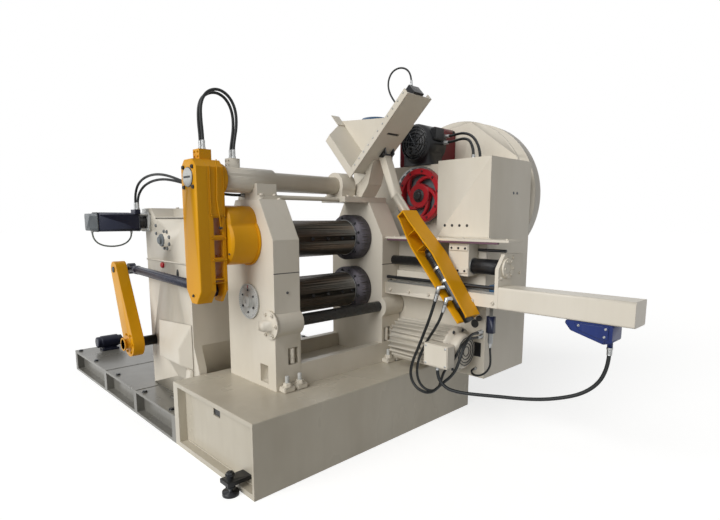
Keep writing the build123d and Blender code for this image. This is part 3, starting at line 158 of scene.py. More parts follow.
def map_range(tree: Tree, value: Socket, low: float, high: float,
              start: float = 0.0, end: float = 1.0) -> Socket:
    """Map a value from one range to another, clamped.

    Args:
        tree: The node tree.
        value: The socket to map.
        low: Where the first range starts.
        high: Where the first range ends.
        start: The result at low.
        end: The result at high.

    Returns:
        The mapped value's socket.
    """
    ends = {"From Min": low, "From Max": high, "To Min": start, "To Max": end}
    return add_node(tree, "ShaderNodeMapRange", {"Value": value, **ends}).outputs["Result"]


def noise(tree: Tree, scale: object, detail: float, stretch: Point | None = None,
          **inputs: float) -> Socket:
    """Add a noise in the row frame.

    Args:
        tree: The node tree.
        scale: The noise's scale, a number or a socket.
        detail: Octaves of the noise.
        stretch: Frequency along X, Y and Z, on top of the scale.
        **inputs: Further inputs of the noise.

    Returns:
        The noise's value socket.
    """
    place = add_node(tree, "ShaderNodeTexCoord").outputs["Object"]
    if stretch:
        place = add_node(tree, "ShaderNodeMapping", {"Vector": place, "Scale": stretch}).outputs["Vector"]
    given = {"Vector": place, "Scale": scale, "Detail": detail, **inputs}
    return add_node(tree, "ShaderNodeTexNoise", given).outputs["Fac"]


class ShaderGroups:
    """Shared shader node groups, each built once and placed in many materials."""

    def __init__(self) -> None:
        """Start with no groups."""
        self.made: dict[str, Tree] = {}

    def group(self, name: str, inputs: dict[str, float],
              fill: Callable[[Tree, Node], dict]) -> Tree:
        """Make a group, or return the one already made.

        Args:
            name: The group's name.
            inputs: Names and start values of its number inputs.
            fill: Adds the nodes behind the group's input and returns a socket for each output.

        Returns:
            The node group.
        """
        if name in self.made:
            return self.made[name]
        tree = bpy.data.node_groups.new(name, "ShaderNodeTree")
        for title, value in inputs.items():
            socket = tree.interface.new_socket(title, in_out="INPUT", socket_type="NodeSocketFloat")
            socket.default_value = value
        results = fill(tree, tree.nodes.new("NodeGroupInput"))
        for title, socket in results.items():
            kind = "NodeSocketVector" if socket.type == "VECTOR" else "NodeSocketFloat"
            tree.interface.new_socket(title, in_out="OUTPUT", socket_type=kind)
        add_node(tree, "NodeGroupOutput", results)
        self.made[name] = tree
        return tree

    def edge_wear(self) -> Tree:
        """Return the group that finds worn edges and rounds them in the shading."""

        def fill(tree: Tree, given: Node) -> dict[str, Socket]:
            """Compare the face normal with a rounded one and break the result up with noise."""
            rounded = add_node(tree, "ShaderNodeBevel", {"Radius": given.outputs["Edge radius"]}, samples=4)
            face = add_node(tree, "ShaderNodeNewGeometry")
            normals = {0: rounded.outputs["Normal"], 1: face.outputs["Normal"]}
            dot = add_node(tree, "ShaderNodeVectorMath", normals, operation="DOT_PRODUCT")
            edge = map_range(tree, dot.outputs["Value"], 0.995, 0.80)
            chip = map_range(tree, noise(tree, given.outputs["Break up scale"], 5), 0.48, 0.62)
            mask = combine(tree, "MULTIPLY", combine(tree, "MULTIPLY", edge, chip), given.outputs["Amount"])
            return {"Mask": mask, "Normal": rounded.outputs["Normal"]}

        return self.group("Edge wear", {"Edge radius": 0.004, "Break up scale": 14.0, "Amount": 0.4}, fill)

    def mottle(self) -> Tree:
        """Return the group of soft cloudy patches and fine grain."""

        def fill(tree: Tree, given: Node) -> dict[str, Socket]:
            """Set a broad noise beside a fine one."""
            broad = noise(tree, given.outputs["Patch scale"], 4, (1.0, 1.0, 0.45), Roughness=0.62)
            return {"Patches": broad, "Grain": noise(tree, given.outputs["Grain scale"], 3)}

        return self.group("Mottle", {"Patch scale": 1.6, "Grain scale": 260.0}, fill)

    def grime(self) -> Tree:
        """Return the group of dust on upward faces and runs down the walls."""

        def fill(tree: Tree, given: Node) -> dict[str, Socket]:
            """Take the upward part of the normal for dust, and a tall noise for the runs."""
            face = add_node(tree, "ShaderNodeNewGeometry")
            upward = add_node(tree, "ShaderNodeSeparateXYZ", {0: face.outputs["Normal"]}).outputs["Z"]
            flat = map_range(tree, upward, 0.4, 1.0)
            thin = map_range(tree, noise(tree, 1.0, 4, (16.0, 16.0, 0.9)), 0.56, 0.78)
            return {"Dust": combine(tree, "MULTIPLY", flat, noise(tree, 7.0, 6)),
                    "Runs": combine(tree, "MULTIPLY", thin, given.outputs["Run amount"])}

        return self.group("Grime", {"Run amount": 0.3}, fill)


# Finishes


class MaterialDraft:
    """A material under construction, with short calls for its usual nodes."""

    def __init__(self, name: str) -> None:
        """Start a material with a bare Principled shader.

        Args:
            name: The material's name.
        """
        self.material = bpy.data.materials.new(name)
        self.material.use_nodes = True
        self.tree = self.material.node_tree
        self.shader = self.tree.nodes["Principled BSDF"]

    def place(self, group: Tree, **values: float) -> bpy.types.bpy_prop_collection:
        """Place a shared group and set its inputs.

        Args:
            group: The node group.
            **values: Input names, with underscores for spaces, and their values.

        Returns:
            The group's outputs.
        """
        inputs = {title.replace("_", " "): value for title, value in values.items()}
        return add_node(self.tree, "ShaderNodeGroup", inputs, node_tree=group).outputs

    def mix(self, fac: Socket | float, first: object, second: object) -> Socket:
        """Mix two colours by a factor.

        Args:
            fac: The factor, a number or a socket.
            first: Colour or socket at factor 0.
            second: Colour or socket at factor 1.

        Returns:
            The mixed colour's socket.
        """
        low, high = [(*value, 1.0) if isinstance(value, tuple) else value for value in (first, second)]
        return add_node(self.tree, "ShaderNodeMix", {0: fac, 6: low, 7: high}, data_type="RGBA").outputs[2]

    def ramp(self, value: Socket, low: float, high: float, start: float,
             end: float) -> Socket:
        """Return a value mapped from low and high to start and end, clamped."""
        return map_range(self.tree, value, low, high, start, end)

    def finish(self, inputs: dict[str, object], height: Socket, strength: float,
               distance: float, normal: Socket | None = None) -> bpy.types.Material:
        """Feed the shader and its bump.

        Args:
            inputs: A value or socket for each of the shader's inputs.
            height: The bump's height socket.
            strength: Bump strength from 0 to 1.
            distance: Height of a full step, in metres.
            normal: A normal for the bump to start from.

        Returns:
            The finished material.
        """
        bump = {"Strength": strength, "Distance": distance, "Height": height}
        if normal is not None:
            bump["Normal"] = normal
        node = add_node(self.tree, "ShaderNodeBump", bump)
        feed(self.tree, self.shader, {**inputs, "Normal": node.outputs["Normal"]})
        return self.material


@dataclass(frozen=True)
class Enamel:
    """Sprayed machine enamel with soft patches, dust, runs and chipped edges."""

    name: str
    colour: Colour
    shade: Colour
    bare: Colour = (0.30, 0.28, 0.25)
    dust: Colour = (0.42, 0.39, 0.33)
    roughness: float = 0.36
    coat: float = 0.08
    specular: float = 0.28
    wear: float = 0.35
    dust_amount: float = 0.35
    run_amount: float = 0.18
    patch_scale: float = 1.7

    def build(self, groups: ShaderGroups) -> bpy.types.Material:
        """Build the enamel.

        Args:
            groups: The shared node groups.

        Returns:
            The material.
        """
        draft = MaterialDraft(self.name)
        mottle = draft.place(groups.mottle(), Patch_scale=self.patch_scale, Grain_scale=190.0)
        grime = draft.place(groups.grime(), Run_amount=self.run_amount)
        edge = draft.place(groups.edge_wear(), Edge_radius=0.005, Break_up_scale=17.0, Amount=self.wear)
        colour = draft.mix(draft.ramp(mottle["Patches"], 0.34, 0.66, 0.0, 1.0), self.shade, self.colour)
        colour = draft.mix(grime["Runs"], colour, self.dust)
        colour = draft.mix(draft.ramp(grime["Dust"], 0.3, 0.7, 0.0, self.dust_amount), colour, self.dust)
        colour = draft.mix(edge["Mask"], colour, self.bare)
        rough = draft.ramp(mottle["Patches"], 0.3, 0.7, self.roughness + 0.08, self.roughness - 0.04)
        inputs = {"Base Color": colour, "Roughness": rough, "Coat Weight": self.coat,
                  "Specular IOR Level": self.specular, "Coat Roughness": 0.18}
        return draft.finish(inputs, mottle["Grain"], 0.10, 0.0008, edge["Normal"])


@dataclass(frozen=True)
class Steel:
    """Bare or blackened steel with marks along or around it."""

    name: str
    colour: Colour
    stain: Colour
    metallic: float = 0.9
    roughness: float = 0.32
    grain: Point = (3.0, 60.0, 60.0)
    stain_scale: Point = (2.0, 7.0, 7.0)
    stain_amount: float = 0.6
    bump: float = 0.12
    worn: Colour = (0.45, 0.44, 0.42)

    def build(self, groups: ShaderGroups) -> bpy.types.Material:
        """Build the steel.

        Args:
            groups: The shared node groups.

        Returns:
            The material.
        """
        draft = MaterialDraft(self.name)
        edge = draft.place(groups.edge_wear(), Edge_radius=0.002, Break_up_scale=30.0, Amount=0.5)
        grain = noise(draft.tree, 1.0, 4.0, self.grain)
        stains = draft.ramp(noise(draft.tree, 1.0, 7.0, self.stain_scale), 0.45, 0.66, 0.0, self.stain_amount)
        tone = draft.ramp(grain, 0.3, 0.7, 0.0, 0.35)
        colour = draft.mix(tone, self.colour, tuple(c * 0.45 for c in self.colour))
        colour = draft.mix(edge["Mask"], draft.mix(stains, colour, self.stain), self.worn)
        metal = draft.ramp(stains, 0.0, 1.0, self.metallic, self.metallic * 0.55)
        rough = draft.ramp(grain, 0.25, 0.75, self.roughness - 0.06, self.roughness + 0.14)
        inputs = {"Base Color": colour, "Metallic": metal, "Roughness": rough}
        return draft.finish(inputs, grain, self.bump, 0.001, edge["Normal"])


@dataclass(frozen=True)
class Rubber:
    """Hose rubber or black plastic with a dusty bloom."""

    name: str
    colour: Colour
    roughness: float = 0.48
    bloom: Colour = (0.09, 0.09, 0.085)
    specular: float = 0.45

    def build(self, groups: ShaderGroups) -> bpy.types.Material:
        """Build the rubber.

        Args:
            groups: The shared node groups.

        Returns:
            The material.
        """
        draft = MaterialDraft(self.name)
        mottle = draft.place(groups.mottle(), Patch_scale=9.0, Grain_scale=420.0)
        bloom = draft.ramp(mottle["Patches"], 0.4, 0.7, 0.0, 0.45)
        rough = draft.ramp(mottle["Patches"], 0.3, 0.7, self.roughness - 0.1, self.roughness + 0.1)
        inputs = {"Base Color": draft.mix(bloom, self.colour, self.bloom), "Roughness": rough,
                  "Specular IOR Level": self.specular}
        return draft.finish(inputs, mottle["Grain"], 0.25, 0.0006)


class Finish(Enum):
    """The machine's finishes."""

    CREAM = Enamel("cream_enamel", srgb("DDD6C8"), srgb("D2CABA"), bare=srgb("8F8778"), dust=srgb("B9B09C"),
                   wear=0.25, dust_amount=0.22, run_amount=0.10)
    BASE = Enamel("base_enamel", srgb("C9C2B2"), srgb("B9B1A0"), bare=srgb("6F685C"), dust=srgb("A79F8D"),
                  roughness=0.26, coat=0.12, wear=0.4, dust_amount=0.2, run_amount=0.12)
    DECK = Enamel("deck_enamel", srgb("84827B"), srgb("6C6A64"), bare=srgb("5B564D"), dust=srgb("7C7970"),
                  roughness=0.24, coat=0.10, wear=0.6, dust_amount=0.5, run_amount=0.3)
    YELLOW = Enamel("yellow_enamel", srgb("E2A314"), srgb("D6940C"), bare=srgb("8A6420"), dust=srgb("B98A34"),
                    roughness=0.30, coat=0.05, specular=0.12, wear=0.3, dust_amount=0.06, run_amount=0.03)
    NAVY = Enamel("navy_enamel", srgb("141B34"), srgb("0E1226"), bare=srgb("4A4F5C"), dust=srgb("3A3F4C"),
                  roughness=0.32, coat=0.10, wear=0.5, dust_amount=0.25, run_amount=0.1)
    BLUE = Enamel("blue_enamel", srgb("1B2F6E"), srgb("162458"), bare=srgb("7B84A0"), dust=srgb("5A6488"),
                  roughness=0.34, coat=0.10, wear=0.5)
    SKY = Enamel("sky_enamel", srgb("2A5478"), srgb("214463"), bare=srgb("8B95A6"), dust=srgb("5D7488"),
                 roughness=0.36, coat=0.08, wear=0.4)
    RED = Enamel("red_enamel", srgb("B8202C"), srgb("9E1822"), bare=srgb("6B5552"), dust=srgb("8E4A48"),
                 roughness=0.30, coat=0.12, wear=0.4, dust_amount=0.2)
    MAROON = Enamel("maroon_enamel", srgb("6E1420"), srgb("530D18"), bare=srgb("50403E"), dust=srgb("5D3A3A"),
                    roughness=0.34, coat=0.10, wear=0.4)
    BLACK = Enamel("black_enamel", srgb("1B1C1F"), srgb("121316"), bare=srgb("5A5A58"), dust=srgb("44433F"),
                   roughness=0.34, coat=0.08, wear=0.6, dust_amount=0.4)
    GREY = Enamel("grey_casting", srgb("767B7E"), srgb("5A6064"), bare=srgb("A9ABAA"), dust=srgb("6A6862"),
                  roughness=0.42, coat=0.15, wear=0.7, patch_scale=6.0)
    SILVER = Enamel("silver_casting", srgb("CDCECA"), srgb("B8B9B6"), bare=srgb("D6D7D4"),
                    dust=srgb("8F8D86"), roughness=0.34, coat=0.05, wear=0.5, patch_scale=5.0)
    PLUM = Enamel("plum_strip", srgb("7B5868"), srgb("634656"), bare=srgb("8E7A82"), dust=srgb("7A6A70"))
    ROLL = Steel("roll_steel", srgb("46433D"), srgb("5E4C3A"), metallic=0.75, roughness=0.40,
                 grain=(3.0, 70.0, 70.0), stain_scale=(1.6, 16.0, 16.0), stain_amount=0.7, bump=0.25)
    COLLAR = Steel("collar_steel", srgb("5A565C"), srgb("38363A"), metallic=0.7, roughness=0.46,
                   grain=(45.0, 45.0, 45.0), stain_scale=(10.0, 10.0, 10.0), stain_amount=0.5)
    DARK_STEEL = Steel("dark_steel", srgb("45474A"), srgb("2E2A26"), metallic=0.85, roughness=0.30,
                       grain=(40.0, 40.0, 40.0), stain_scale=(9.0, 9.0, 9.0), stain_amount=0.5)
    BRIGHT = Steel("machined_steel", srgb("B4B6B6"), srgb("8C8880"), metallic=0.9, roughness=0.30,
                   grain=(90.0, 90.0, 90.0), stain_scale=(6.0, 6.0, 6.0), stain_amount=0.25, bump=0.04)
    CHROME = Steel("chromed_rod", srgb("DADCDE"), srgb("9EA0A2"), metallic=1.0, roughness=0.12,
                   grain=(80.0, 80.0, 80.0), stain_scale=(12.0, 12.0, 12.0), stain_amount=0.15, bump=0.03)
    HOSE = Rubber("hose_rubber", srgb("0F1212"), bloom=srgb("23272A"), specular=0.35)
    CABLE = Rubber("cable_jacket", srgb("6F7772"), roughness=0.42, bloom=srgb("8A918C"))
    PLASTIC = Rubber("black_plastic", srgb("16171A"), roughness=0.38)


def to_mesh(mesh: bmesh.types.BMesh, name: str, angle: float) -> bpy.types.Mesh:
    """Turn a finished draft into smoothly shaded mesh data.

    Args:
        mesh: The draft, which is freed.
        name: The mesh's name.
        angle: Edges sharper than this stay sharp, in degrees.

    Returns:
        The mesh data.
    """
    data = bpy.data.meshes.new(name)
    mesh.to_mesh(data)
    mesh.free()
    data.polygons.foreach_set("use_smooth", [True] * len(data.polygons))
    data.set_sharp_from_angle(angle=math.radians(angle))
    return data


def add_piece(name: str, data: bpy.types.ID, body: str) -> Piece:
    """Add a piece that rides on a body.

    Args:
        name: The piece's name.
        data: Its mesh or curve.
        body: The body it rides on.

    Returns:
        The piece.
    """
    piece = bpy.data.objects.new(name, data)
    bpy.context.scene.collection.objects.link(piece)
    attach(piece, body)
    log.info("%s made", name)
    return piece


class Palette:
    """Builds each finish once, hands it out and dresses the model's own nodes."""

    def __init__(self, nodes: dict[str, Piece], bodies: dict[str, str]) -> None:
        """Keep the model's nodes.

        Args:
            nodes: The model's node objects by name.
            bodies: The body of each node by name.
        """
        self.groups = ShaderGroups()
        self.nodes = nodes
        self.bodies = bodies
        self.made: dict[Finish, bpy.types.Material] = {}

    def paint(self, finish: Finish, *names: str) -> None:
        """Give whole nodes one finish.

        Args:
            finish: The finish.
            *names: The nodes' names.
        """
        for name in names:
            data = self.nodes[name].data
            data.materials.clear()
            data.materials.append(self.get(finish))
            log.info("%s wears %s", name, finish.value.name)

    def smooth(self, name: str, finish: Finish, angle: float = 32.0, look: Look | None = None) -> None:
        """Stand a merged, smoothly shaded copy in for a round node.

        Args:
            name: The node's name.
            finish: Its finish.
            angle: Edges sharper than this stay sharp, in degrees.
            look: Names the finish of a face from its middle and its normal.
        """
        mesh = bmesh.new()
        mesh.from_mesh(self.nodes[name].data)
        bmesh.ops.remove_doubles(mesh, verts=mesh.verts, dist=2e-5)
        bmesh.ops.dissolve_degenerate(mesh, edges=mesh.edges, dist=1e-6)
        bmesh.ops.recalc_face_normals(mesh, faces=mesh.faces)
        finishes = [finish]
        if look:
            for face in mesh.faces:
                wanted = look(face.calc_center_median(), face.normal)
                if wanted not in finishes:
                    finishes.append(wanted)
                face.material_index = finishes.index(wanted)
        data = to_mesh(mesh, f"{name}_dressed", angle)
        for item in finishes:
            data.materials.append(self.get(item))
        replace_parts(add_piece(data.name, data, self.bodies[name]), name)

    def get(self, finish: Finish) -> bpy.types.Material:
        """Return a finish's material, built on first use."""
        if finish not in self.made:
            self.made[finish] = finish.value.build(self.groups)
        return self.made[finish]


# Mesh making


class Shape:
    """A mesh under construction, with each solid added in place in the row frame."""

    def __init__(self) -> None:
        """Start empty."""
        self.mesh = bmesh.new()

    def place(self, before: int, matrix: Matrix) -> "Shape":
        """Move the vertices added since a count by a matrix."""
        self.mesh.verts.ensure_lookup_table()
        bmesh.ops.transform(self.mesh, matrix=matrix, verts=self.mesh.verts[before:])
        return self

    def aim(self, before: int, start: Point, axis: Point) -> "Shape":
        """Move the vertices added since a count from +Z at the origin to an axis."""
        turn = Vector(axis).to_track_quat("Z", "Y").to_matrix().to_4x4()
        return self.place(before, Matrix.Translation(start) @ turn)

    def circle(self, height: float, radius: float, segments: int) -> list[Vertex]:
        """Add a circle of vertices round +Z, or one vertex where the radius is 0."""
        if radius < TIP:
            return [self.mesh.verts.new((0, 0, height))]
        angles = (FULL_TURN * i / segments for i in range(segments))
        return [self.mesh.verts.new((radius * math.cos(a), radius * math.sin(a), height)) for a in angles]

    def skin(self, one: list[Vertex], two: list[Vertex]) -> None:
        """Add the faces between two loops; a loop of one vertex is a tip."""
        count = max(len(one), len(two))
        if count == 1:
            return
        for i in range(count):
            j = (i + 1) % count
            if len(one) == 1:
                self.mesh.faces.new((one[0], two[j], two[i]))
            elif len(two) == 1:
                self.mesh.faces.new((one[i], one[j], two[0]))
            else:
                self.mesh.faces.new((one[i], one[j], two[j], two[i]))

    def box(self, low: Point, high: Point) -> "Shape":
        """Add a box between two corners."""
        before = len(self.mesh.verts)
        bmesh.ops.create_cube(self.mesh, size=1.0)
        size = Vector(high) - Vector(low)
        centre = (Vector(high) + Vector(low)) / 2
        return self.place(before, Matrix.Translation(centre) @ Matrix.Diagonal((*size, 1.0)))

    def turned(self, profile: Profile, start: Point, axis: Point, segments: int = 48) -> "Shape":
        """Add a turned solid.

        Args:
            profile: Distance along the axis and radius of each ring; radius 0 closes an end.
            start: The axis's start.
            axis: The axis's direction.
            segments: Faces round the axis.

        Returns:
            This shape.
        """
        before = len(self.mesh.verts)
        loops = [self.circle(height, radius, segments) for height, radius in profile]
        for one, two in zip(loops, loops[1:]):
            self.skin(one, two)
        return self.aim(before, start, axis)

    def rod(self, start: Point, end: Point, radius: float, segments: int = 20, edge: float = 0.0) -> "Shape":
        """Add a round bar between two points, with chamfered ends."""
        axis = Vector(end) - Vector(start)
        edge = edge or radius * 0.12
        profile = [(0, 0), (0, radius - edge), (edge, radius), (axis.length - edge, radius),
                   (axis.length, radius - edge), (axis.length, 0)]
        return self.turned(profile, start, tuple(axis), segments)

    def ring(self, start: Point, axis: Point, inner: float, outer: float, length: float,
             segments: int = 48) -> "Shape":
        """Add a flat ring or a sleeve."""
        before = len(self.mesh.verts)
        section = ((0, inner), (0, outer), (length, outer), (length, inner))
        loops = [self.circle(height, radius, segments) for height, radius in section]
        for one, two in zip(loops, loops[1:] + loops[:1]):
            self.skin(one, two)
        return self.aim(before, start, axis)

    def prism(self, outline: Sequence[Point], depth: Point) -> "Shape":
        """Add a flat outline pushed along a vector."""
        return self.frustum(outline, [Vector(p) + Vector(depth) for p in outline])

    def frustum(self, base: Sequence[Point], top: Sequence[Point]) -> "Shape":
        """Add a solid between two outlines with as many points each."""
        low = [self.mesh.verts.new(p) for p in base]
        high = [self.mesh.verts.new(p) for p in top]
        self.mesh.faces.new(list(reversed(low)))
        self.mesh.faces.new(high)
        self.skin(low, high)
        return self

    def fin(self, middle: Vector, side: Vector, inner: float, outer: float, across: Vector,
            depth: Point) -> "Shape":
        """Add a fin, tick or louvre that points away from an axis.

        Args:
            middle: A point on the axis.
            side: Unit vector from the axis to the fin.
            inner: The fin's inner radius.
            outer: Its outer radius.
            across: Half its thickness, as a vector.
            depth: Its run along the axis, as a vector.

        Returns:
            This shape.
        """
        low, high = middle + side * inner, middle + side * outer
        return self.prism([low - across, high - across, high + across, low + across], depth)

    def finish(self, name: str, palette: Palette, finish: Finish, body: str = "frame", bevel: float = 0.0,
               angle: float = 35.0) -> Piece:
        """Turn the mesh into a piece that rides on a body.

        Args:
            name: The piece's name.
            palette: Where the finish comes from.
            finish: The piece's finish.
            body: The body it rides on.
            bevel: Width of its rounded edges, 0 for none.
            angle: Edges sharper than this stay sharp, in degrees.

        Returns:
            The finished piece.
        """
        bmesh.ops.recalc_face_normals(self.mesh, faces=self.mesh.faces)
        if bevel:
            limit = math.radians(angle)
            sharp = [e for e in self.mesh.edges if e.is_manifold and e.calc_face_angle(0) > limit]
            bmesh.ops.bevel(self.mesh, geom=sharp, offset=bevel, segments=2, affect="EDGES",
                            clamp_overlap=True)
        data = to_mesh(self.mesh, name, angle)
        data.materials.append(palette.get(finish))
        return add_piece(name, data, body)


WASHER = ((0.0, 1.22), (0.16, 1.22), (0.16, 1.0))
HEAD_RINGS = {
    BoltStyle.HEX: ((0.72, 1.0), (0.82, 0.86)),
    BoltStyle.SOCKET: ((0.92, 1.0), (1.0, 0.90), (1.0, 0.52), (0.5, 0.50)),
    BoltStyle.BUTTON: ((0.40, 0.96), (0.62, 0.72), (0.72, 0.40)),
}
HEAD_SIDES = {BoltStyle.HEX: 24, BoltStyle.SOCKET: 18, BoltStyle.BUTTON: 18}
PATTERN_INPUTS = (("Geometry", "Geometry"), ("Pattern", "Object"), ("Turn", "Vector"), ("Size", "Vector"),
                  ("Spin jitter", "Float"), ("Seed", "Int"), ("Finish", "Material"))


class Repeats:
    """Geometry Nodes trees for the bolt heads."""

    def __init__(self, palette: Palette) -> None:
        """Keep the palette and start with no heads."""
        self.palette = palette
        self.heads: dict[BoltStyle, Piece] = {}
        self.tree = self._tree()

    def _tree(self) -> Tree:
        """Build the tree that sets one pattern piece on every point."""
        tree = bpy.data.node_groups.new("Pattern on points", "GeometryNodeTree")
        for title, kind in PATTERN_INPUTS:
            tree.interface.new_socket(title, in_out="INPUT", socket_type=f"NodeSocket{kind}")
        tree.interface.new_socket("Geometry", in_out="OUTPUT", socket_type="NodeSocketGeometry")
        given = tree.nodes.new("NodeGroupInput").outputs
        info = add_node(tree, "GeometryNodeObjectInfo", {"Object": given["Pattern"]})
        turn = add_node(tree, "FunctionNodeEulerToRotation", {"Euler": given["Turn"]})
        limits = {3: given["Spin jitter"], "Seed": given["Seed"]}
        chance = add_node(tree, "FunctionNodeRandomValue", limits, data_type="FLOAT")
        spin = add_node(tree, "ShaderNodeCombineXYZ", {"Z": chance.outputs[1]})
        own = add_node(tree, "FunctionNodeEulerToRotation", {"Euler": spin.outputs[0]})
        turns = {"Rotation": turn.outputs[0], "Rotate By": own.outputs[0]}
        both = add_node(tree, "FunctionNodeRotateRotation", turns, rotation_space="LOCAL")
        put = add_node(tree, "GeometryNodeInstanceOnPoints", {
            "Points": given["Geometry"], "Instance": info.outputs["Geometry"],
            "Rotation": both.outputs[0], "Scale": given["Size"]})
        real = add_node(tree, "GeometryNodeRealizeInstances", {0: put.outputs[0]})
        dress = {"Geometry": real.outputs[0], "Material": given["Finish"]}
        last = add_node(tree, "GeometryNodeSetMaterial", dress)
        add_node(tree, "NodeGroupOutput", {0: last.outputs[0]})
        return tree

    def head(self, style: BoltStyle) -> Piece:
        """Return the pattern for a bolt head of unit radius, built on first use."""
        if style in self.heads:
            return self.heads[style]
        draft = Shape()
        angles = [FULL_TURN * i / HEAD_SIDES[style] for i in range(HEAD_SIDES[style])]
        loops = []
        for z, radius in WASHER + HEAD_RINGS[style]:
            loop = []
            for angle in angles:
                reach = radius
                if style is BoltStyle.HEX and radius <= 1.0:
                    reach *= math.cos(math.pi / 6) / math.cos((angle % (math.pi / 3)) - math.pi / 6)
                loop.append(draft.mesh.verts.new((reach * math.cos(angle), reach * math.sin(angle), z)))
            loops.append(loop)
        for one, two in zip(loops, loops[1:]):
            draft.skin(one, two)
        draft.mesh.faces.new(loops[-1])
        draft.mesh.faces.new(list(reversed(loops[0])))
        bmesh.ops.recalc_face_normals(draft.mesh, faces=draft.mesh.faces)
        data = to_mesh(draft.mesh, f"head_{style.value}", 30)
        self.heads[style] = bpy.data.objects.new(data.name, data)
        return self.heads[style]

    def bolts(self, name: str, body: str, points: Iterable[Point], direction: Direction, radius: float,
              style: BoltStyle = BoltStyle.HEX, finish: Finish = Finish.DARK_STEEL) -> Piece:
        """Set bolt heads on points of one face, as one plain mesh.

        Args:
            name: The piece's name.
            body: The body the bolts ride on.
            points: Where the heads sit.
            direction: The face's outward direction.
            radius: The head's radius in metres.
            style: The kind of head. A hexagon is turned by chance, by up to one radian.
            finish: The heads' finish.

        Returns:
            The finished piece.
        """
        seeds = bpy.data.meshes.new(f"{name}_points")
        seeds.from_pydata([Vector(p) for p in points], [], [])
        holder = bpy.data.objects.new(seeds.name, seeds)
        bpy.context.scene.collection.objects.link(holder)
        modifier = holder.modifiers.new("Pattern", "NODES")
        modifier.node_group = self.tree
        values = {"Pattern": self.head(style), "Turn": tuple(direction.turn()), "Size": (float(radius),) * 3,
                  "Spin jitter": 1.0 if style is BoltStyle.HEX else 0.0, "Seed": 7,
                  "Finish": self.palette.get(finish)}
        for item in self.tree.interface.items_tree:
            if item.in_out == "INPUT" and item.name in values:
                modifier[item.identifier] = values[item.name]
        bpy.context.view_layer.update()
        graph = bpy.context.evaluated_depsgraph_get()
        data = bpy.data.meshes.new_from_object(holder.evaluated_get(graph))
        data.name = name
        bpy.data.objects.remove(holder)
        return add_piece(name, data, body)


def grid(xs: Values, ys: Values, zs: Values) -> list[Point]:
    """Return every point whose X, Y and Z come from three sets of values.

    Args:
        xs: One X or several.
        ys: One Y or several.
        zs: One Z or several.

    Returns:
        The points, Z changing first.
    """
    return list(itertools.product(*(v if isinstance(v, tuple) else (v,) for v in (xs, ys, zs))))


def around(middle: float, reach: float) -> tuple[float, float]:
    """Return the two values a reach below and above a middle."""
    return (middle - reach, middle + reach)


def circle_points(centre: Point, axis: Direction, radius: float, count: int,
                  start: float = 0.0) -> list[Point]:
    """Return points round a circle across one axis.

    Args:
        centre: The circle's centre.
        axis: The direction across which it lies.
        radius: Its radius.
        count: Number of points.
        start: Angle of the first point, in degrees.

    Returns:
        The points.
    """
    turn = Vector(axis.value).to_track_quat("Z", "Y").to_matrix()
    result = []
    for i in range(count):
        angle = math.radians(start) + FULL_TURN * i / count
        offset = turn @ Vector((radius * math.cos(angle), radius * math.sin(angle), 0))
        result.append(tuple(Vector(centre) + offset))
    return result


# Hoses and cables


@dataclass(frozen=True)
class Hose:
    """A hose or cable that follows its route between two fittings."""

    node: str
    diameter: float
    length: float
    points: tuple[Point, ...]
    body: str = "frame"
    finish: Finish = Finish.HOSE
    stiffness: str = "medium"
    start_sleeve: float = 0.055
    end_sleeve: float = 0.055

    def sleeve(self, name: str, palette: Palette, start: Vector, along: Vector,
               length: float) -> Piece:
        """Make the crimped sleeve and nut at one end.

        Args:
            name: The piece's name.
            palette: Where the finish comes from.
            start: The seat's middle.
            along: The hose's direction away from the seat.
            length: The sleeve's length.

        Returns:
            The sleeve.
        """
        r = self.diameter / 2
        nut, step = 0.012, (length - 0.014) / 7
        profile = [(0, 0), (0, r * 1.15), (0.001, r * 1.55), (nut, r * 1.55), (nut + 0.001, r * 1.15)]
        for i in range(6):
            z = nut + 0.002 + i * step
            profile += [(z, r * 1.32), (z + step * 0.7, r * 1.32), (z + step * 0.85, r * 1.2)]
        profile += [(length - 0.001, r * 1.3), (length, r * 1.05), (length, 0)]
        shape = Shape().turned(profile, tuple(start), tuple(along), 18)
        return shape.finish(name, palette, Finish.BRIGHT, self.body, angle=40)

    def build(self, palette: Palette) -> Piece:
        """Make the hose and its sleeves.

        Args:
            palette: Where the finishes come from.

        Returns:
            The hose's curve.
        """
        curve = bpy.data.curves.new(f"{self.node}_line", "CURVE")
        curve.dimensions = "3D"
        spline = curve.splines.new("NURBS")
        spline.points.add(len(self.points) - 1)
        for point, place in zip(spline.points, self.points):
            point.co = (*place, 1.0)
        spline.order_u = 3
        spline.use_endpoint_u = True
        spline.resolution_u = 6
        curve.bevel_depth = self.diameter / 2
        curve.bevel_resolution = 4
        curve.use_fill_caps = True
        curve.materials.append(palette.get(self.finish))
        piece = add_piece(f"{self.node}_line", curve, self.body)
        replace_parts(piece, self.node)
        places = [Vector(p) for p in self.points]
        if self.start_sleeve:
            self.sleeve(f"{self.node}_sleeve_a", palette, places[0], places[1] - places[0],
                                    self.start_sleeve)
        if self.end_sleeve:
            self.sleeve(f"{self.node}_sleeve_b", palette, places[-1], places[-2] - places[-1],
                                    self.end_sleeve)
        log.info("%s runs %.2f m", self.node, self.length)
        return piece


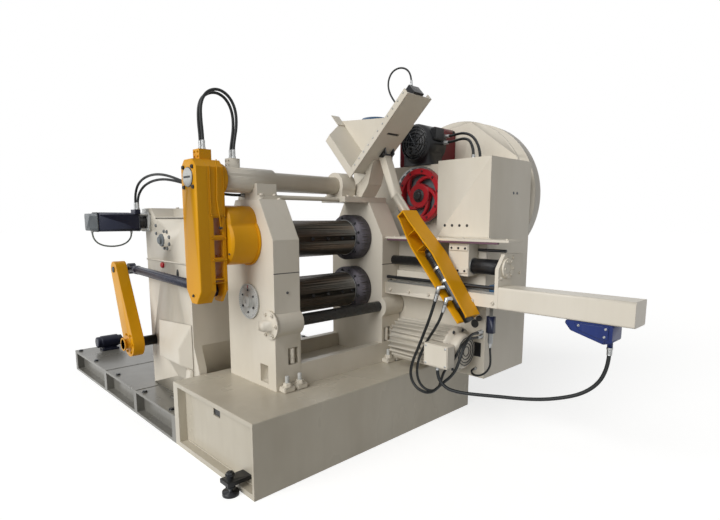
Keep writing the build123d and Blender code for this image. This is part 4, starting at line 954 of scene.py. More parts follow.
HOSES = (
    Hose("rocker_hose_left", 0.018, 0.883, (
        (-0.882, -0.008, 1.962), (-0.882, -0.008, 2.04), (-0.889, -0.009, 2.124), (-0.889, -0.007, 2.206),
        (-0.87, -0.008, 2.266), (-0.83, -0.009, 2.308), (-0.77, -0.008, 2.326), (-0.712, -0.007, 2.306),
        (-0.673, -0.008, 2.262), (-0.653, -0.009, 2.2), (-0.653, -0.008, 2.12), (-0.668, -0.007, 2.046),
        (-0.68, -0.008, 1.985), (-0.68, -0.008, 1.925),
    ), body="rocker"),
    Hose("rocker_hose_right", 0.018, 0.856, (
        (-0.882, 0.026, 1.962), (-0.882, 0.026, 2.038), (-0.888, 0.027, 2.12), (-0.887, 0.025, 2.198),
        (-0.869, 0.026, 2.256), (-0.829, 0.027, 2.296), (-0.77, 0.026, 2.313), (-0.714, 0.025, 2.295),
        (-0.676, 0.026, 2.251), (-0.656, 0.027, 2.192), (-0.656, 0.026, 2.114), (-0.669, 0.025, 2.042),
        (-0.68, 0.026, 1.983), (-0.68, 0.026, 1.925),
    ), body="rocker"),
    Hose("servo_hose_front", 0.018, 1.284, (
        (-0.868, 1.12, 1.622), (-0.868, 1.12, 1.676), (-0.861, 1.104, 1.738), (-0.849, 1.048, 1.788),
        (-0.841, 0.96, 1.816), (-0.838, 0.84, 1.83), (-0.836, 0.7, 1.83), (-0.834, 0.56, 1.816),
        (-0.826, 0.436, 1.794), (-0.808, 0.332, 1.776), (-0.778, 0.25, 1.764), (-0.734, 0.18, 1.757),
        (-0.684, 0.13, 1.749), (-0.632, 0.098, 1.738), (-0.601, 0.088, 1.733), (-0.57, 0.088, 1.733),
    ), end_sleeve=0.03),
    Hose("servo_hose_back", 0.018, 1.409, (
        (-0.868, 1.165, 1.622), (-0.868, 1.165, 1.678), (-0.868, 1.15, 1.748), (-0.87, 1.09, 1.808),
        (-0.869, 0.99, 1.846), (-0.868, 0.86, 1.864), (-0.868, 0.71, 1.864), (-0.867, 0.56, 1.846),
        (-0.86, 0.426, 1.816), (-0.842, 0.312, 1.78), (-0.808, 0.222, 1.748), (-0.756, 0.15, 1.724),
        (-0.696, 0.1, 1.709), (-0.644, 0.074, 1.704), (-0.606, 0.064, 1.704), (-0.57, 0.064, 1.704),
    ), end_sleeve=0.03),
    Hose("servo_cable", 0.012, 0.420, (
        (-1.185, 1.185, 1.465), (-1.185, 1.185, 1.434), (-1.175, 1.187, 1.4), (-1.15, 1.19, 1.37),
        (-1.114, 1.189, 1.352), (-1.07, 1.186, 1.344), (-1.024, 1.185, 1.344), (-0.978, 1.188, 1.352),
        (-0.94, 1.19, 1.37), (-0.915, 1.188, 1.398), (-0.905, 1.185, 1.428), (-0.905, 1.185, 1.457),
    ), finish=Finish.CABLE, start_sleeve=0.02, end_sleeve=0.02),
    Hose("feed_hose_left", 0.02, 1.623, (
        (0.258, -0.901, 1.07), (0.258, -0.872, 0.976), (0.262, -0.833, 0.874), (0.266, -0.785, 0.768),
        (0.265, -0.745, 0.672), (0.264, -0.706, 0.588), (0.264, -0.683, 0.512), (0.265, -0.682, 0.464),
        (0.267, -0.698, 0.42), (0.27, -0.73, 0.387), (0.273, -0.773, 0.37), (0.276, -0.82, 0.369),
        (0.279, -0.864, 0.385), (0.28, -0.903, 0.421), (0.276, -0.956, 0.476), (0.269, -1.018, 0.53),
        (0.264, -1.062, 0.594), (0.27, -1.082, 0.664), (0.304, -1.084, 0.728), (0.366, -1.072, 0.772),
        (0.446, -1.05, 0.79), (0.522, -1.034, 0.782), (0.599, -1.034, 0.782),
    )),
    Hose("feed_hose_right", 0.018, 1.456, (
        (0.258, -0.966, 1.004), (0.258, -0.936, 0.914), (0.259, -0.886, 0.83), (0.261, -0.83, 0.748),
        (0.265, -0.784, 0.668), (0.271, -0.748, 0.598), (0.279, -0.728, 0.532), (0.287, -0.722, 0.474),
        (0.292, -0.735, 0.424), (0.297, -0.769, 0.389), (0.301, -0.817, 0.376), (0.304, -0.864, 0.388),
        (0.306, -0.899, 0.423), (0.307, -0.914, 0.472), (0.306, -0.93, 0.526), (0.303, -0.962, 0.574),
        (0.3, -1, 0.618), (0.302, -1.03, 0.666), (0.32, -1.044, 0.714), (0.36, -1.048, 0.746),
        (0.414, -1.044, 0.76), (0.474, -1.038, 0.758), (0.537, -1.034, 0.748), (0.599, -1.034, 0.748),
    )),
    Hose("motor_hose", 0.022, 1.323, (
        (0.509, -1.893, 0.85), (0.509, -1.893, 0.79), (0.505, -1.884, 0.722), (0.497, -1.862, 0.656),
        (0.484, -1.818, 0.598), (0.466, -1.756, 0.552), (0.446, -1.676, 0.518), (0.424, -1.576, 0.486),
        (0.4, -1.45, 0.462), (0.374, -1.32, 0.448), (0.34, -1.21, 0.438), (0.304, -1.12, 0.434),
        (0.274, -1.05, 0.438), (0.257, -1.004, 0.448), (0.246, -0.965, 0.474), (0.241, -0.939, 0.513),
        (0.24, -0.93, 0.56), (0.24, -0.93, 0.593),
    ), start_sleeve=0.045, end_sleeve=0.03),
    Hose("valve_hose", 0.014, 0.441, (
        (0.5, -1.159, 0.74), (0.5, -1.159, 0.694), (0.5, -1.166, 0.642), (0.498, -1.168, 0.592),
        (0.492, -1.15, 0.548), (0.486, -1.114, 0.514), (0.486, -1.068, 0.5), (0.502, -1.026, 0.502),
        (0.534, -1.002, 0.512), (0.568, -0.996, 0.514), (0.599, -0.996, 0.514),
    ), start_sleeve=0.03, end_sleeve=0.025),
    Hose("sensor_cable", 0.012, 0.525, (
        (0.25, -0.56621, 2.2756), (0.25, -0.53773, 2.30648), (0.253, -0.503, 2.344), (0.257, -0.47, 2.386),
        (0.261, -0.448, 2.436), (0.265, -0.448, 2.486), (0.273, -0.47, 2.53), (0.288, -0.512, 2.552),
        (0.306, -0.556, 2.546), (0.318, -0.586, 2.518), (0.324, -0.6, 2.472), (0.324, -0.6, 2.43),
    ), start_sleeve=0.02, end_sleeve=0.035),
    Hose("motor_cable_low", 0.02, 0.465, (
        (0.85, -0.49, 2.125), (0.85, -0.56, 2.125), (0.839, -0.638, 2.136), (0.813, -0.712, 2.13),
        (0.779, -0.77, 2.103), (0.752, -0.809, 2.058), (0.74, -0.828, 2.008), (0.74, -0.828, 1.96),
    ), start_sleeve=0.04, end_sleeve=0.04),
    Hose("motor_cable_high", 0.02, 0.605, (
        (1, -0.39, 2.2), (1, -0.452, 2.2), (0.992, -0.526, 2.207), (0.967, -0.604, 2.198),
        (0.93, -0.68, 2.168), (0.886, -0.746, 2.124), (0.848, -0.794, 2.076), (0.826, -0.822, 2.03),
        (0.819, -0.832, 1.994), (0.819, -0.832, 1.96),
    ), start_sleeve=0.04, end_sleeve=0.025),
)


# Sub-assemblies


@dataclass
class Assembly:
    """What every sub-assembly works with: the finishes and the bolt heads."""

    palette: Palette
    repeats: Repeats

    def bolts(self, name: str, points: Iterable[Point], direction: Direction, radius: float,
              style: BoltStyle = BoltStyle.HEX, finish: Finish = Finish.DARK_STEEL,
              body: str = "frame") -> None:
        """Set bolt heads on points of one face, as Repeats.bolts describes."""
        self.repeats.bolts(name, body, points, direction, radius, style, finish)


@dataclass
class BaseFrame(Assembly):
    """The base block, the rear deck and the jack."""

    panel_x: float = -0.921
    deck_top: float = 0.200
    jack: Point = (-1.031, -0.450, 0.0)
    hand_hole: tuple[float, float] = (-0.110, 0.375)
    hand_hole_size: float = 0.0836

    def build(self) -> None:
        """Dress the base and set its plates, bolts and nuts."""
        palette = self.palette
        palette.paint(Finish.BASE, "base_block")
        palette.paint(Finish.DECK, "rear_base")
        palette.paint(Finish.CREAM, "stand_tray")
        palette.smooth("levelling_foot", Finish.BLACK)
        self.side_details()
        self.deck_plates()
        self.jack_nuts()

    def side_details(self) -> None:
        """Show the hand hole as a thin black plate of painted shade, and the weld bead of the recessed left
        side.
        """
        x, (y, z) = self.panel_x, self.hand_hole
        half = self.hand_hole_size / 2
        # Painted shade: a thin black plate stands for the dark inside of the hand hole.
        hole_shade = Shape().box((x + 0.006, y - half, z - half), (x + 0.009, y + half, z + half))
        hole_shade.finish("hand_hole", self.palette, Finish.PLASTIC)
        bead = Shape().rod((x - 0.002, -0.53, 0.0385), (x - 0.002, 0.30, 0.0385), 0.006, 10)
        bead.finish("side_weld", self.palette, Finish.BASE)

    def deck_plates(self) -> None:
        """Set the pit's kerb, the seams, the tie-down bolts and the small motor on the rear deck."""
        z = self.deck_top
        kerb = Shape()
        for low, high in (((-0.842, 0.468, z), (-0.830, 0.772, z + 0.012)),
                          ((-0.842, 0.760, z), (-0.776, 0.772, z + 0.012)),
                          ((-0.842, 0.456, z), (-0.148, 0.468, z + 0.012))):
            kerb.box(low, high)
        kerb.finish("pit_kerb", self.palette, Finish.DECK, bevel=0.002)
        self.bolts("deck_bolts", grid((-0.94, 1.10), (0.52, 1.02, 1.62, 2.22, 2.72), z), Direction.UP,
                   0.018)
        seams = Shape()
        for y in (1.11, 1.83):
            seams.box((-0.975, y - 0.004, z), (1.143, y + 0.004, z + 0.003))
        seams.finish("deck_seams", self.palette, Finish.DECK)
        motor = Shape()
        motor.box((-0.78, 2.545, z), (-0.62, 2.655, z + 0.020))
        motor.box((-0.76, 2.565, z), (-0.64, 2.635, z + 0.06))
        motor.turned([(0, 0), (0, 0.050), (0.006, 0.056), (0.040, 0.056), (0.042, 0.062), (0.200, 0.062),
                      (0.202, 0.052), (0.240, 0.050), (0.244, 0.020), (0.275, 0.020), (0.275, 0)],
                     (-0.82, 2.60, z + 0.088), (1, 0, 0), 40)
        motor.finish("deck_motor", self.palette, Finish.NAVY, bevel=0.002)

    def jack_nuts(self) -> None:
        """Set the jack's nuts and the thread between them."""
        x, y, _ = self.jack
        turns, pitch, crest, root, length = 26, 0.0042, 0.0132, 0.0118, 0.112
        profile = [(0, 0), (0, 0.0115)]
        for i in range(turns):
            z = 0.0015 + i * pitch
            profile += [(z, crest), (z + pitch / 2, root)]
        profile += [(length, root), (length, 0)]
        thread = Shape().turned(profile, (x, y, 0.024), Direction.UP.value, 20)
        thread.finish("jack_thread", self.palette, Finish.DARK_STEEL)
        self.bolts("jack_lock_nuts", [(x, y, 0.046), (x, y, 0.118)], Direction.UP, 0.023)


@dataclass
class RollStand(Assembly):
    """The two housings with the rolls between them."""

    half_gap: float = 0.391
    outer: float = 0.591
    half_depth: float = 0.284
    lower_z: float = 1.010
    upper_z: float = 1.410
    mandrel: float = 0.130
    housing_mid: float = 0.491
    pocket_mid: float = 0.453
    dial_face: float = -0.605
    key_screws: tuple[float, ...] = (-0.28, -0.14, 0.0, 0.14, 0.24)

    def build(self) -> None:
        """Dress the stand and set its fasteners and seals."""
        palette = self.palette
        palette.smooth("left_housing", Finish.CREAM, 25, self.housing_look)
        palette.smooth("right_housing", Finish.CREAM, 25, self.housing_look)
        palette.smooth("upper_roll", Finish.ROLL, 30, self.roll_look)
        palette.smooth("lower_roll", Finish.ROLL, 30, self.roll_look)
        palette.smooth("guide_bar", Finish.CREAM, 30, self.bar_look)
        palette.smooth("adjusting_dial", Finish.SILVER, 30)
        palette.smooth("eccentric_cover", Finish.YELLOW, 25)
        self.parting_bolts()
        self.foot_nuts()
        self.dial_marks()
        self.roll_parts()
        self.cover_parts()

    def housing_look(self, middle: Vector, normal: Vector) -> Finish:
        """Return bare steel for the bores and paint for the rest."""
        heights = (self.lower_z, self.upper_z)
        bored = abs(normal.x) < 0.3 and any(math.hypot(middle.y, middle.z - z) < 0.115 for z in heights)
        return Finish.BRIGHT if bored else Finish.CREAM

    def roll_look(self, middle: Vector, normal: Vector) -> Finish:
        """Return greyer steel for the collars and worn steel for the mandrels."""
        return Finish.COLLAR if middle.x > 0.27 or middle.x < -0.335 else Finish.ROLL

    def bar_look(self, middle: Vector, normal: Vector) -> Finish:
        """Return paint for the bar's square end and dark steel for the bar."""
        return Finish.CREAM if middle.x < -self.outer else Finish.DARK_STEEL

    def parting_bolts(self) -> None:
        """Set the plugs, the seal along the parting line and the tie-bolt nuts on the tops."""
        plugs = grid((-self.housing_mid, self.housing_mid), -self.half_depth, 1.085)
        self.bolts("housing_plugs", plugs, Direction.FRONT, 0.007, BoltStyle.SOCKET)
        tops = grid(around(-self.housing_mid, 0.07), (-0.122, 0.128), 1.674)
        self.bolts("housing_top_nuts", tops, Direction.UP, 0.016, finish=Finish.CREAM)
        line = Shape()
        for side in (-1, 1):
            x0, x1 = sorted((side * self.half_gap, side * self.outer))
            line.box((x0, -self.half_depth + 0.0002, 1.2072), (x1, -self.half_depth + 0.003, 1.2128))
        line.finish("parting_seal", self.palette, Finish.PLASTIC)

    def foot_nuts(self) -> None:
        """Set studs with big nuts at the foot of both housings."""
        blocks, studs, spots = Shape(), Shape(), []
        for x in (-0.53, -0.43, 0.43, 0.53):
            blocks.box((x - 0.042, -0.352, 0.450), (x + 0.042, -0.284, 0.486))
            studs.rod((x, -0.318, 0.50), (x, -0.318, 0.552), 0.014, 14)
            spots.append((x, -0.318, 0.486))
        blocks.finish("stand_foot_blocks", self.palette, Finish.CREAM, bevel=0.005)
        studs.finish("stand_foot_studs", self.palette, Finish.SILVER)
        self.bolts("stand_foot_nuts", spots, Direction.UP, 0.028, finish=Finish.CREAM)
        front = Shape()
        for x in around(0.0, self.pocket_mid):
            front.rod((x, -0.268, 0.612), (x, -0.268, 0.715), 0.018, 16)
        front.finish("pocket_studs", self.palette, Finish.CREAM)
        self.bolts("pocket_nuts", grid(around(0.0, self.pocket_mid), -0.262, 0.650), Direction.UP, 0.022,
                   finish=Finish.CREAM)

    def dial_marks(self) -> None:
        """Set the dial's ticks, its hub and its pointer."""
        x, z = self.dial_face, self.lower_z
        count, outer, minor, major = 48, 0.112, 0.009, 0.016
        ticks = Shape()
        for i in range(count):
            angle = FULL_TURN * i / count
            side = Vector((0, math.cos(angle), math.sin(angle)))
            across = Vector((0, -side.z, side.y)) * 0.0009
            length = major if i % 4 == 0 else minor
            ticks.fin(Vector((x - 0.0006, 0, z)), side, outer - length, outer, across, (0.0006, 0, 0))
        ticks.finish("dial_ticks", self.palette, Finish.PLASTIC)
        profile = [(0, 0), (0, 0.046), (0.004, 0.046), (0.006, 0.042), (0.016, 0.040), (0.018, 0.036),
                   (0.018, 0.014), (0.012, 0.012), (0.012, 0)]
        hub = Shape().turned(profile, (x, 0, z), Direction.LEFT.value, 48)
        hub.finish("dial_hub", self.palette, Finish.SILVER)
        mark = Shape().box((x - 0.0022, -0.004, z + 0.086), (x - 0.0004, 0.004, z + 0.108))
        mark.finish("dial_pointer", self.palette, Finish.RED)
        self.bolts("dial_bolts", circle_points((x, 0, z), Direction.LEFT, 0.074, 6, 30), Direction.LEFT,
                   0.0065, BoltStyle.SOCKET)
        flange = circle_points((x, -0.240, 0.883), Direction.LEFT, 0.075, 6)
        self.bolts("bar_flange_bolts", flange, Direction.LEFT, 0.010, BoltStyle.SOCKET, Finish.CREAM)

    def roll_parts(self) -> None:
        """Set the key screws, the worn bands and the seals of the rolls."""
        bed = self.mandrel - 0.018
        for name, z in (("upper_roll", self.upper_z), ("lower_roll", self.lower_z)):
            body = f"{name}_body"
            self.bolts(f"{name}_key_screws", grid(self.key_screws, -bed, z), Direction.FRONT, 0.010,
                       BoltStyle.SOCKET, body=body)
            self.bolts(f"{name}_key_screws_top", grid(self.key_screws, 0.0, z + bed), Direction.UP, 0.010,
                       BoltStyle.SOCKET, body=body)
            bands = Shape()
            for x, r, w in ((-0.328, 0.1345, 0.012), (0.258, 0.1345, 0.014), (0.277, 0.166, 0.004)):
                bands.ring((x, 0, z), (1, 0, 0), 0.128, r, w, 64)
            bands.finish(f"{name}_bands", self.palette, Finish.BRIGHT, body, angle=40)
            self.bolts(f"{name}_collar_bolts", circle_points((0.275, 0, z), Direction.LEFT, 0.152, 12, 15),
                       Direction.LEFT, 0.0085, BoltStyle.SOCKET, body=body)
        seals = Shape()
        thick = 0.0035
        for start in (-self.half_gap, self.half_gap - thick):
            for z in (self.lower_z, self.upper_z):
                seals.ring((start, 0, z), (1, 0, 0), 0.1125, 0.150, thick, 64)
        seals.finish("bearing_seals", self.palette, Finish.PLASTIC)

    def cover_parts(self) -> None:
        """Set the split line and screws of the eccentric cover."""
        collar = Shape()
        collar.ring((-0.603, 0, self.upper_z), (1, 0, 0), 0.148, 0.1615, 0.012, 72)
        collar.finish("cover_flange", self.palette, Finish.YELLOW, bevel=0.002)
        screws = ((-0.108, 1.336), (0.108, 1.336), (0.0, 1.284), (-0.075, 1.560), (0.075, 1.560))
        self.bolts("cover_screws", [(-0.7905, y, z) for y, z in screws], Direction.LEFT, 0.0055,
                   BoltStyle.SOCKET)


@dataclass
class Rocker(Assembly):
    """The front arm on the top tube, with its carriers."""

    left: float = -0.976
    tube_y: float = 0.010
    tube_z: float = 1.795
    fork_pin: tuple[float, float] = (0.035, 1.105)
    bolt_reach: float = 0.058

    def build(self) -> None:
        """Dress the rocker and set its caps and bolts."""
        palette = self.palette
        palette.smooth("front_arm_cover", Finish.YELLOW, 25, self.cap_look)
        palette.smooth("front_arm", Finish.YELLOW, 25, self.arm_look)
        palette.smooth("top_tube", Finish.CREAM, 30, self.tube_look)
        palette.smooth("tube_bearing", Finish.CREAM, 25)
        palette.smooth("tube_clamp", Finish.CREAM, 25)
        palette.paint(Finish.CREAM, "mount_plate")
        self.cover_bolts()
        self.arm_details()
        self.tube_details()

    def cap_look(self, middle: Vector, normal: Vector) -> Finish:
        """Return machined steel for the pivot cap and paint for the cover."""
        return Finish.SILVER if middle.x < self.left - 0.0005 else Finish.YELLOW

    def arm_look(self, middle: Vector, normal: Vector) -> Finish:
        """Return steel for the fork's pin and paint for the arm."""
        radius = math.hypot(middle.y - self.fork_pin[0], middle.z - self.fork_pin[1])
        inside = radius < 0.0185 and (-0.877 < middle.x < -0.815 or middle.x > -0.7985)
        return Finish.DARK_STEEL if inside else Finish.YELLOW

    def tube_look(self, middle: Vector, normal: Vector) -> Finish:
        """Return yellow for the sleeve's end by the arm and cream for the rest."""
        return Finish.YELLOW if middle.x < -0.795 and middle.z < 1.88 else Finish.CREAM

    def cover_bolts(self) -> None:
        """Set the black bolts round the pivot cap and at the arm's foot."""
        spots = grid(self.left, around(self.tube_y, self.bolt_reach), around(self.tube_z, self.bolt_reach))
        self.bolts("pivot_bolts", spots, Direction.LEFT, 0.0105, BoltStyle.SOCKET, Finish.PLASTIC,
                   body="rocker")
        self.bolts("arm_foot_bolt", [(self.left, self.tube_y, 1.085)], Direction.LEFT, 0.008,
                   BoltStyle.SOCKET, Finish.PLASTIC, body="rocker")
        rim = Shape().ring((self.left - 0.0035, self.tube_y, self.tube_z), (1, 0, 0), 0.0545, 0.0585,
                           0.0035, 64)
        rim.finish("pivot_cap_rim", self.palette, Finish.DARK_STEEL, "rocker")
        # Painted shade: a thin black bar on the cap stands for the dark inside of its slot.
        slot_shade = Shape().box((self.left - 0.0075, self.tube_y - 0.043, self.tube_z - 0.0065),
                           (self.left - 0.0052, self.tube_y + 0.043, self.tube_z + 0.0065))
        slot_shade.finish("pivot_slot", self.palette, Finish.PLASTIC, "rocker")

    def arm_details(self) -> None:
        """Set the ribs, bosses, grease pipe and hose block screws of the arm."""
        front = self.tube_y - 0.095
        ribs = Shape()
        for z0, z1 in ((1.160, 1.165), (1.300, 1.310), (1.430, 1.440), (1.565, 1.575)):
            ribs.box((-0.894, front - 0.006, z0), (-0.798, front, z1))
        ribs.box((-0.894, front - 0.006, 1.575), (-0.886, front, 1.86))
        ribs.box((-0.806, front - 0.006, 1.11), (-0.798, front, 1.86))
        ribs.finish("arm_front_ribs", self.palette, Finish.YELLOW, "rocker", bevel=0.0018)
        self.bolts("arm_rib_bolts", grid((-0.888, -0.804), front - 0.006, (1.305, 1.435, 1.570)),
                   Direction.FRONT, 0.0065, BoltStyle.BUTTON, Finish.YELLOW, body="rocker")
        pipe = Shape()
        route = [(-0.846, front - 0.006, 1.90), (-0.846, front - 0.010, 1.80), (-0.852, front - 0.010, 1.66),
                 (-0.838, front - 0.010, 1.55), (-0.834, front - 0.010, 1.50)]
        for a, b in zip(route, route[1:]):
            pipe.rod(a, b, 0.0035, 10, 0.0004)
        pipe.finish("grease_pipe", self.palette, Finish.YELLOW, "rocker")
        nipple = Shape().turned([(0, 0), (0, 0.010), (0.006, 0.010), (0.008, 0.006), (0.022, 0.006),
                                 (0.024, 0.0035), (0.024, 0)], (-0.834, front, 1.497), (0, -1, 0), 16)
        nipple.finish("grease_nipple", self.palette, Finish.DARK_STEEL, "rocker")
        self.bolts("hose_block_screws", grid(-0.9205, (-0.012, 0.032), (1.918, 1.946)), Direction.LEFT,
                   0.005, BoltStyle.SOCKET, Finish.YELLOW, body="rocker")
        pin = Shape().turned([(0, 0), (0, 0.026), (0.003, 0.026), (0.005, 0.023), (0.005, 0)],
                             (-0.798, *self.fork_pin), (1, 0, 0), 32)
        pin.finish("fork_pin_washer", self.palette, Finish.DARK_STEEL, "rocker")

    def tube_details(self) -> None:
        """Set the collar, the weld beads and the clamp bolts of the top tube."""
        rings = Shape()
        rings.ring((-0.798, self.tube_y, self.tube_z), (1, 0, 0), 0.0795, 0.0925, 0.034, 64)
        rings.finish("sleeve_collar", self.palette, Finish.YELLOW, "rocker", bevel=0.003)
        beads = Shape()
        beads.ring((-0.402, self.tube_y, self.tube_z), (1, 0, 0), 0.063, 0.072, 0.010, 64)
        beads.ring((0.292, self.tube_y, self.tube_z), (1, 0, 0), 0.063, 0.069, 0.018, 64)
        beads.finish("tube_rings", self.palette, Finish.CREAM, "rocker", bevel=0.002)
        self.bolts("saddle_bolts", grid((-0.545, -0.445), (-0.105, 0.118), 1.700), Direction.UP, 0.015,
                   finish=Finish.CREAM)
        self.bolts("clamp_bolts", grid((0.20, 0.27), (-0.112, 0.130), 1.7145), Direction.UP, 0.013,
                   finish=Finish.CREAM)
        self.bolts("manifold_screws", grid(-0.715, (-0.008, 0.028), (1.885, 1.91)), Direction.LEFT, 0.005,
                   BoltStyle.SOCKET, Finish.CREAM, body="rocker")


@dataclass
class RearDrive(Assembly):
    """The gearbox with its servo, the rear arm and the connecting rod."""

    wall: float = -0.776
    front: float = 0.470
    top: float = 1.634
    hub: tuple[float, float] = (0.815, 1.395)
    servo: tuple[float, float] = (1.185, 1.527)
    tie_reach: float = 0.058
    flange_face: float = -0.798
    rod_x: float = -0.846
    rod_pins: tuple[tuple[float, float], ...] = ((0.035, 1.105), (1.400, 1.145))
    arm_pivot: tuple[float, float] = (1.165, 0.575)
    arm_back: float = -0.986

    def build(self) -> None:
        """Dress the rear drive and set its details."""
        palette = self.palette
        palette.smooth("gearbox", Finish.CREAM, 25)
        palette.smooth("servo_flange", Finish.SILVER, 30)
        palette.smooth("servo_motor", Finish.NAVY, 30, self.servo_look)
        palette.smooth("connecting_rod", Finish.NAVY, 30, self.rod_look)
        palette.smooth("rear_arm", Finish.YELLOW, 25, self.rear_arm_look)
        self.gearbox_details()
        self.servo_details()
        self.linkage_details()

    def servo_look(self, middle: Vector, normal: Vector) -> Finish:
        """Return bright castings for the servo's ends and enamel for its body."""
        if middle.x < -1.157:
            return Finish.GREY
        return Finish.SILVER if middle.x > -0.8585 else Finish.NAVY

    def rod_look(self, middle: Vector, normal: Vector) -> Finish:
        """Return bare steel for the rod's bores and enamel for the rest."""
        for y, z in self.rod_pins:
            if math.hypot(middle.y - y, middle.z - z) < 0.019:
                return Finish.BRIGHT
        return Finish.NAVY

    def rear_arm_look(self, middle: Vector, normal: Vector) -> Finish:
        """Return steel for the arm's shaft and pin and paint for its plate."""
        return Finish.DARK_STEEL if middle.x > -0.9015 else Finish.YELLOW

    def gearbox_details(self) -> None:
        """Set the hub's bolts, the ridge, the red cap, a black oval of painted shade for the oval hole, and
        the skirt.
        """
        x, (y, z) = self.wall, self.hub
        face, left = x - 0.046, Direction.LEFT
        hub = Shape().turned([(0, 0), (0, 0.046), (0.004, 0.048), (0.010, 0.044), (0.012, 0.030),
                              (0.026, 0.026), (0.028, 0.016), (0.028, 0)], (face, y, z), left.value, 32)
        hub.finish("hub_nose", self.palette, Finish.GREY)
        self.bolts("hub_bolts", circle_points((face, y, z), left, 0.037, 6), left, 0.0095,
                   finish=Finish.NAVY)
        self.bolts("hub_flange_bolts", circle_points((x - 0.016, y, z), left, 0.067, 8, 20), left, 0.0115,
                   finish=Finish.GREY)
        ridge = Shape()
        ridge.box((x - 0.010, self.front - 0.010, 1.226), (x, 1.228, 1.238))
        ridge.box((x, self.front - 0.010, 1.226), (-0.150, self.front, 1.238))
        ridge.box((x - 0.006, self.front + 0.002, 1.552), (x, 1.02, 1.560))
        ridge.finish("gearbox_ridge", self.palette, Finish.CREAM, bevel=0.003)
        skirt = Shape().frustum(((x, 0.482, 0.46), (x, 1.06, 0.46), (x, 1.06, 0.76), (x, 0.482, 0.80)),
                                ((x - 0.075, 0.56, 0.50), (x - 0.075, 0.90, 0.50), (x - 0.075, 0.90, 0.60),
                                 (x - 0.075, 0.56, 0.62)))
        skirt.frustum(((x, 0.486, 0.232), (x, 0.60, 0.232), (x, 0.60, 0.46), (x, 0.486, 0.46)),
                      ((x - 0.050, 0.505, 0.232), (x - 0.050, 0.575, 0.232), (x - 0.015, 0.575, 0.46),
                       (x - 0.015, 0.505, 0.46)))
        skirt.finish("gearbox_skirt", self.palette, Finish.CREAM, bevel=0.005)
        cap = Shape().turned([(0, 0), (0, 0.022), (0.012, 0.022), (0.016, 0.018), (0.016, 0)],
                             (x, 0.927, 1.200), (-1, 0, 0), 24)
        cap.finish("filler_cap", self.palette, Finish.RED)
        # Painted shade: a thin black oval stands for the dark inside of the oval hole.
        oval_shade = Shape()
        outline = [(x - 0.0005, 0.674 + 0.020 * math.cos(t), 1.143 + 0.042 * math.sin(t))
                   for t in (FULL_TURN * i / 40 for i in range(40))]
        oval_shade.prism(outline, (-0.002, 0, 0))
        oval_shade.finish("oval_hole", self.palette, Finish.PLASTIC)
        lid = grid((-0.62, -0.40, -0.21), (0.50, 0.97), self.top - 0.004)
        self.bolts("lid_bolts", lid, Direction.UP, 0.012, finish=Finish.CREAM)
        feet = Shape()
        feet.box((x - 0.055, 0.43, 0.200), (x, 0.57, 0.232)).box((-0.150, 0.43, 0.200), (-0.095, 0.57, 0.232))
        feet.finish("gearbox_feet", self.palette, Finish.CREAM, bevel=0.004)
        feet_bolts = [(x - 0.028, 0.46, 0.232), (x - 0.028, 0.53, 0.232), (-0.122, 0.50, 0.232)]
        self.bolts("gearbox_foot_bolts", feet_bolts, Direction.UP, 0.019, finish=Finish.SILVER)
        self.bolts("gearbox_wall_bolts", grid(x, 1.02, (1.50, 1.44)), left, 0.011, finish=Finish.GREY)

    def servo_details(self) -> None:
        """Set the servo's end frames, ties, flange bolts, coupling, end lid and ribs."""
        y, z = self.servo
        frames, h = Shape(), 0.0715
        for x0, x1 in ((-0.872, -0.858), (-1.164, -1.152)):
            frames.box((x0, y - h, z - h), (x1, y + h, z + h))
        frames.finish("servo_end_frames", self.palette, Finish.GREY, bevel=0.006)
        ends = grid(self.flange_face, around(y, self.tie_reach), around(z, self.tie_reach))
        ties = Shape()
        for spot in ends:
            ties.rod((-0.857, *spot[1:]), spot, 0.009, 16)
        ties.finish("servo_ties", self.palette, Finish.BRIGHT)
        self.bolts("servo_flange_bolts", ends, Direction.LEFT, 0.012, finish=Finish.BRIGHT)
        profile = [(0, 0), (0, 0.056), (0.003, 0.058), (0.022, 0.058), (0.024, 0.054), (0.034, 0.054),
                   (0.036, 0.058), (0.054, 0.058), (0.057, 0.054), (0.057, 0)]
        coupling = Shape().turned(profile, (-0.800, y, z), Direction.LEFT.value, 40)
        coupling.finish("servo_coupling", self.palette, Finish.DARK_STEEL)
        end = Shape().box((-1.2128, y - 0.050, z - 0.050), (-1.209, y + 0.050, z + 0.050))
        end.finish("servo_end_lid", self.palette, Finish.DARK_STEEL)
        ribs = Shape()
        for i in range(7):
            middle = y - 0.048 + i * 0.016
            ribs.box((-1.14, middle - 0.0015, z + 0.0695), (-0.93, middle + 0.0015, z + 0.0715))
        ribs.finish("servo_ribs", self.palette, Finish.NAVY)

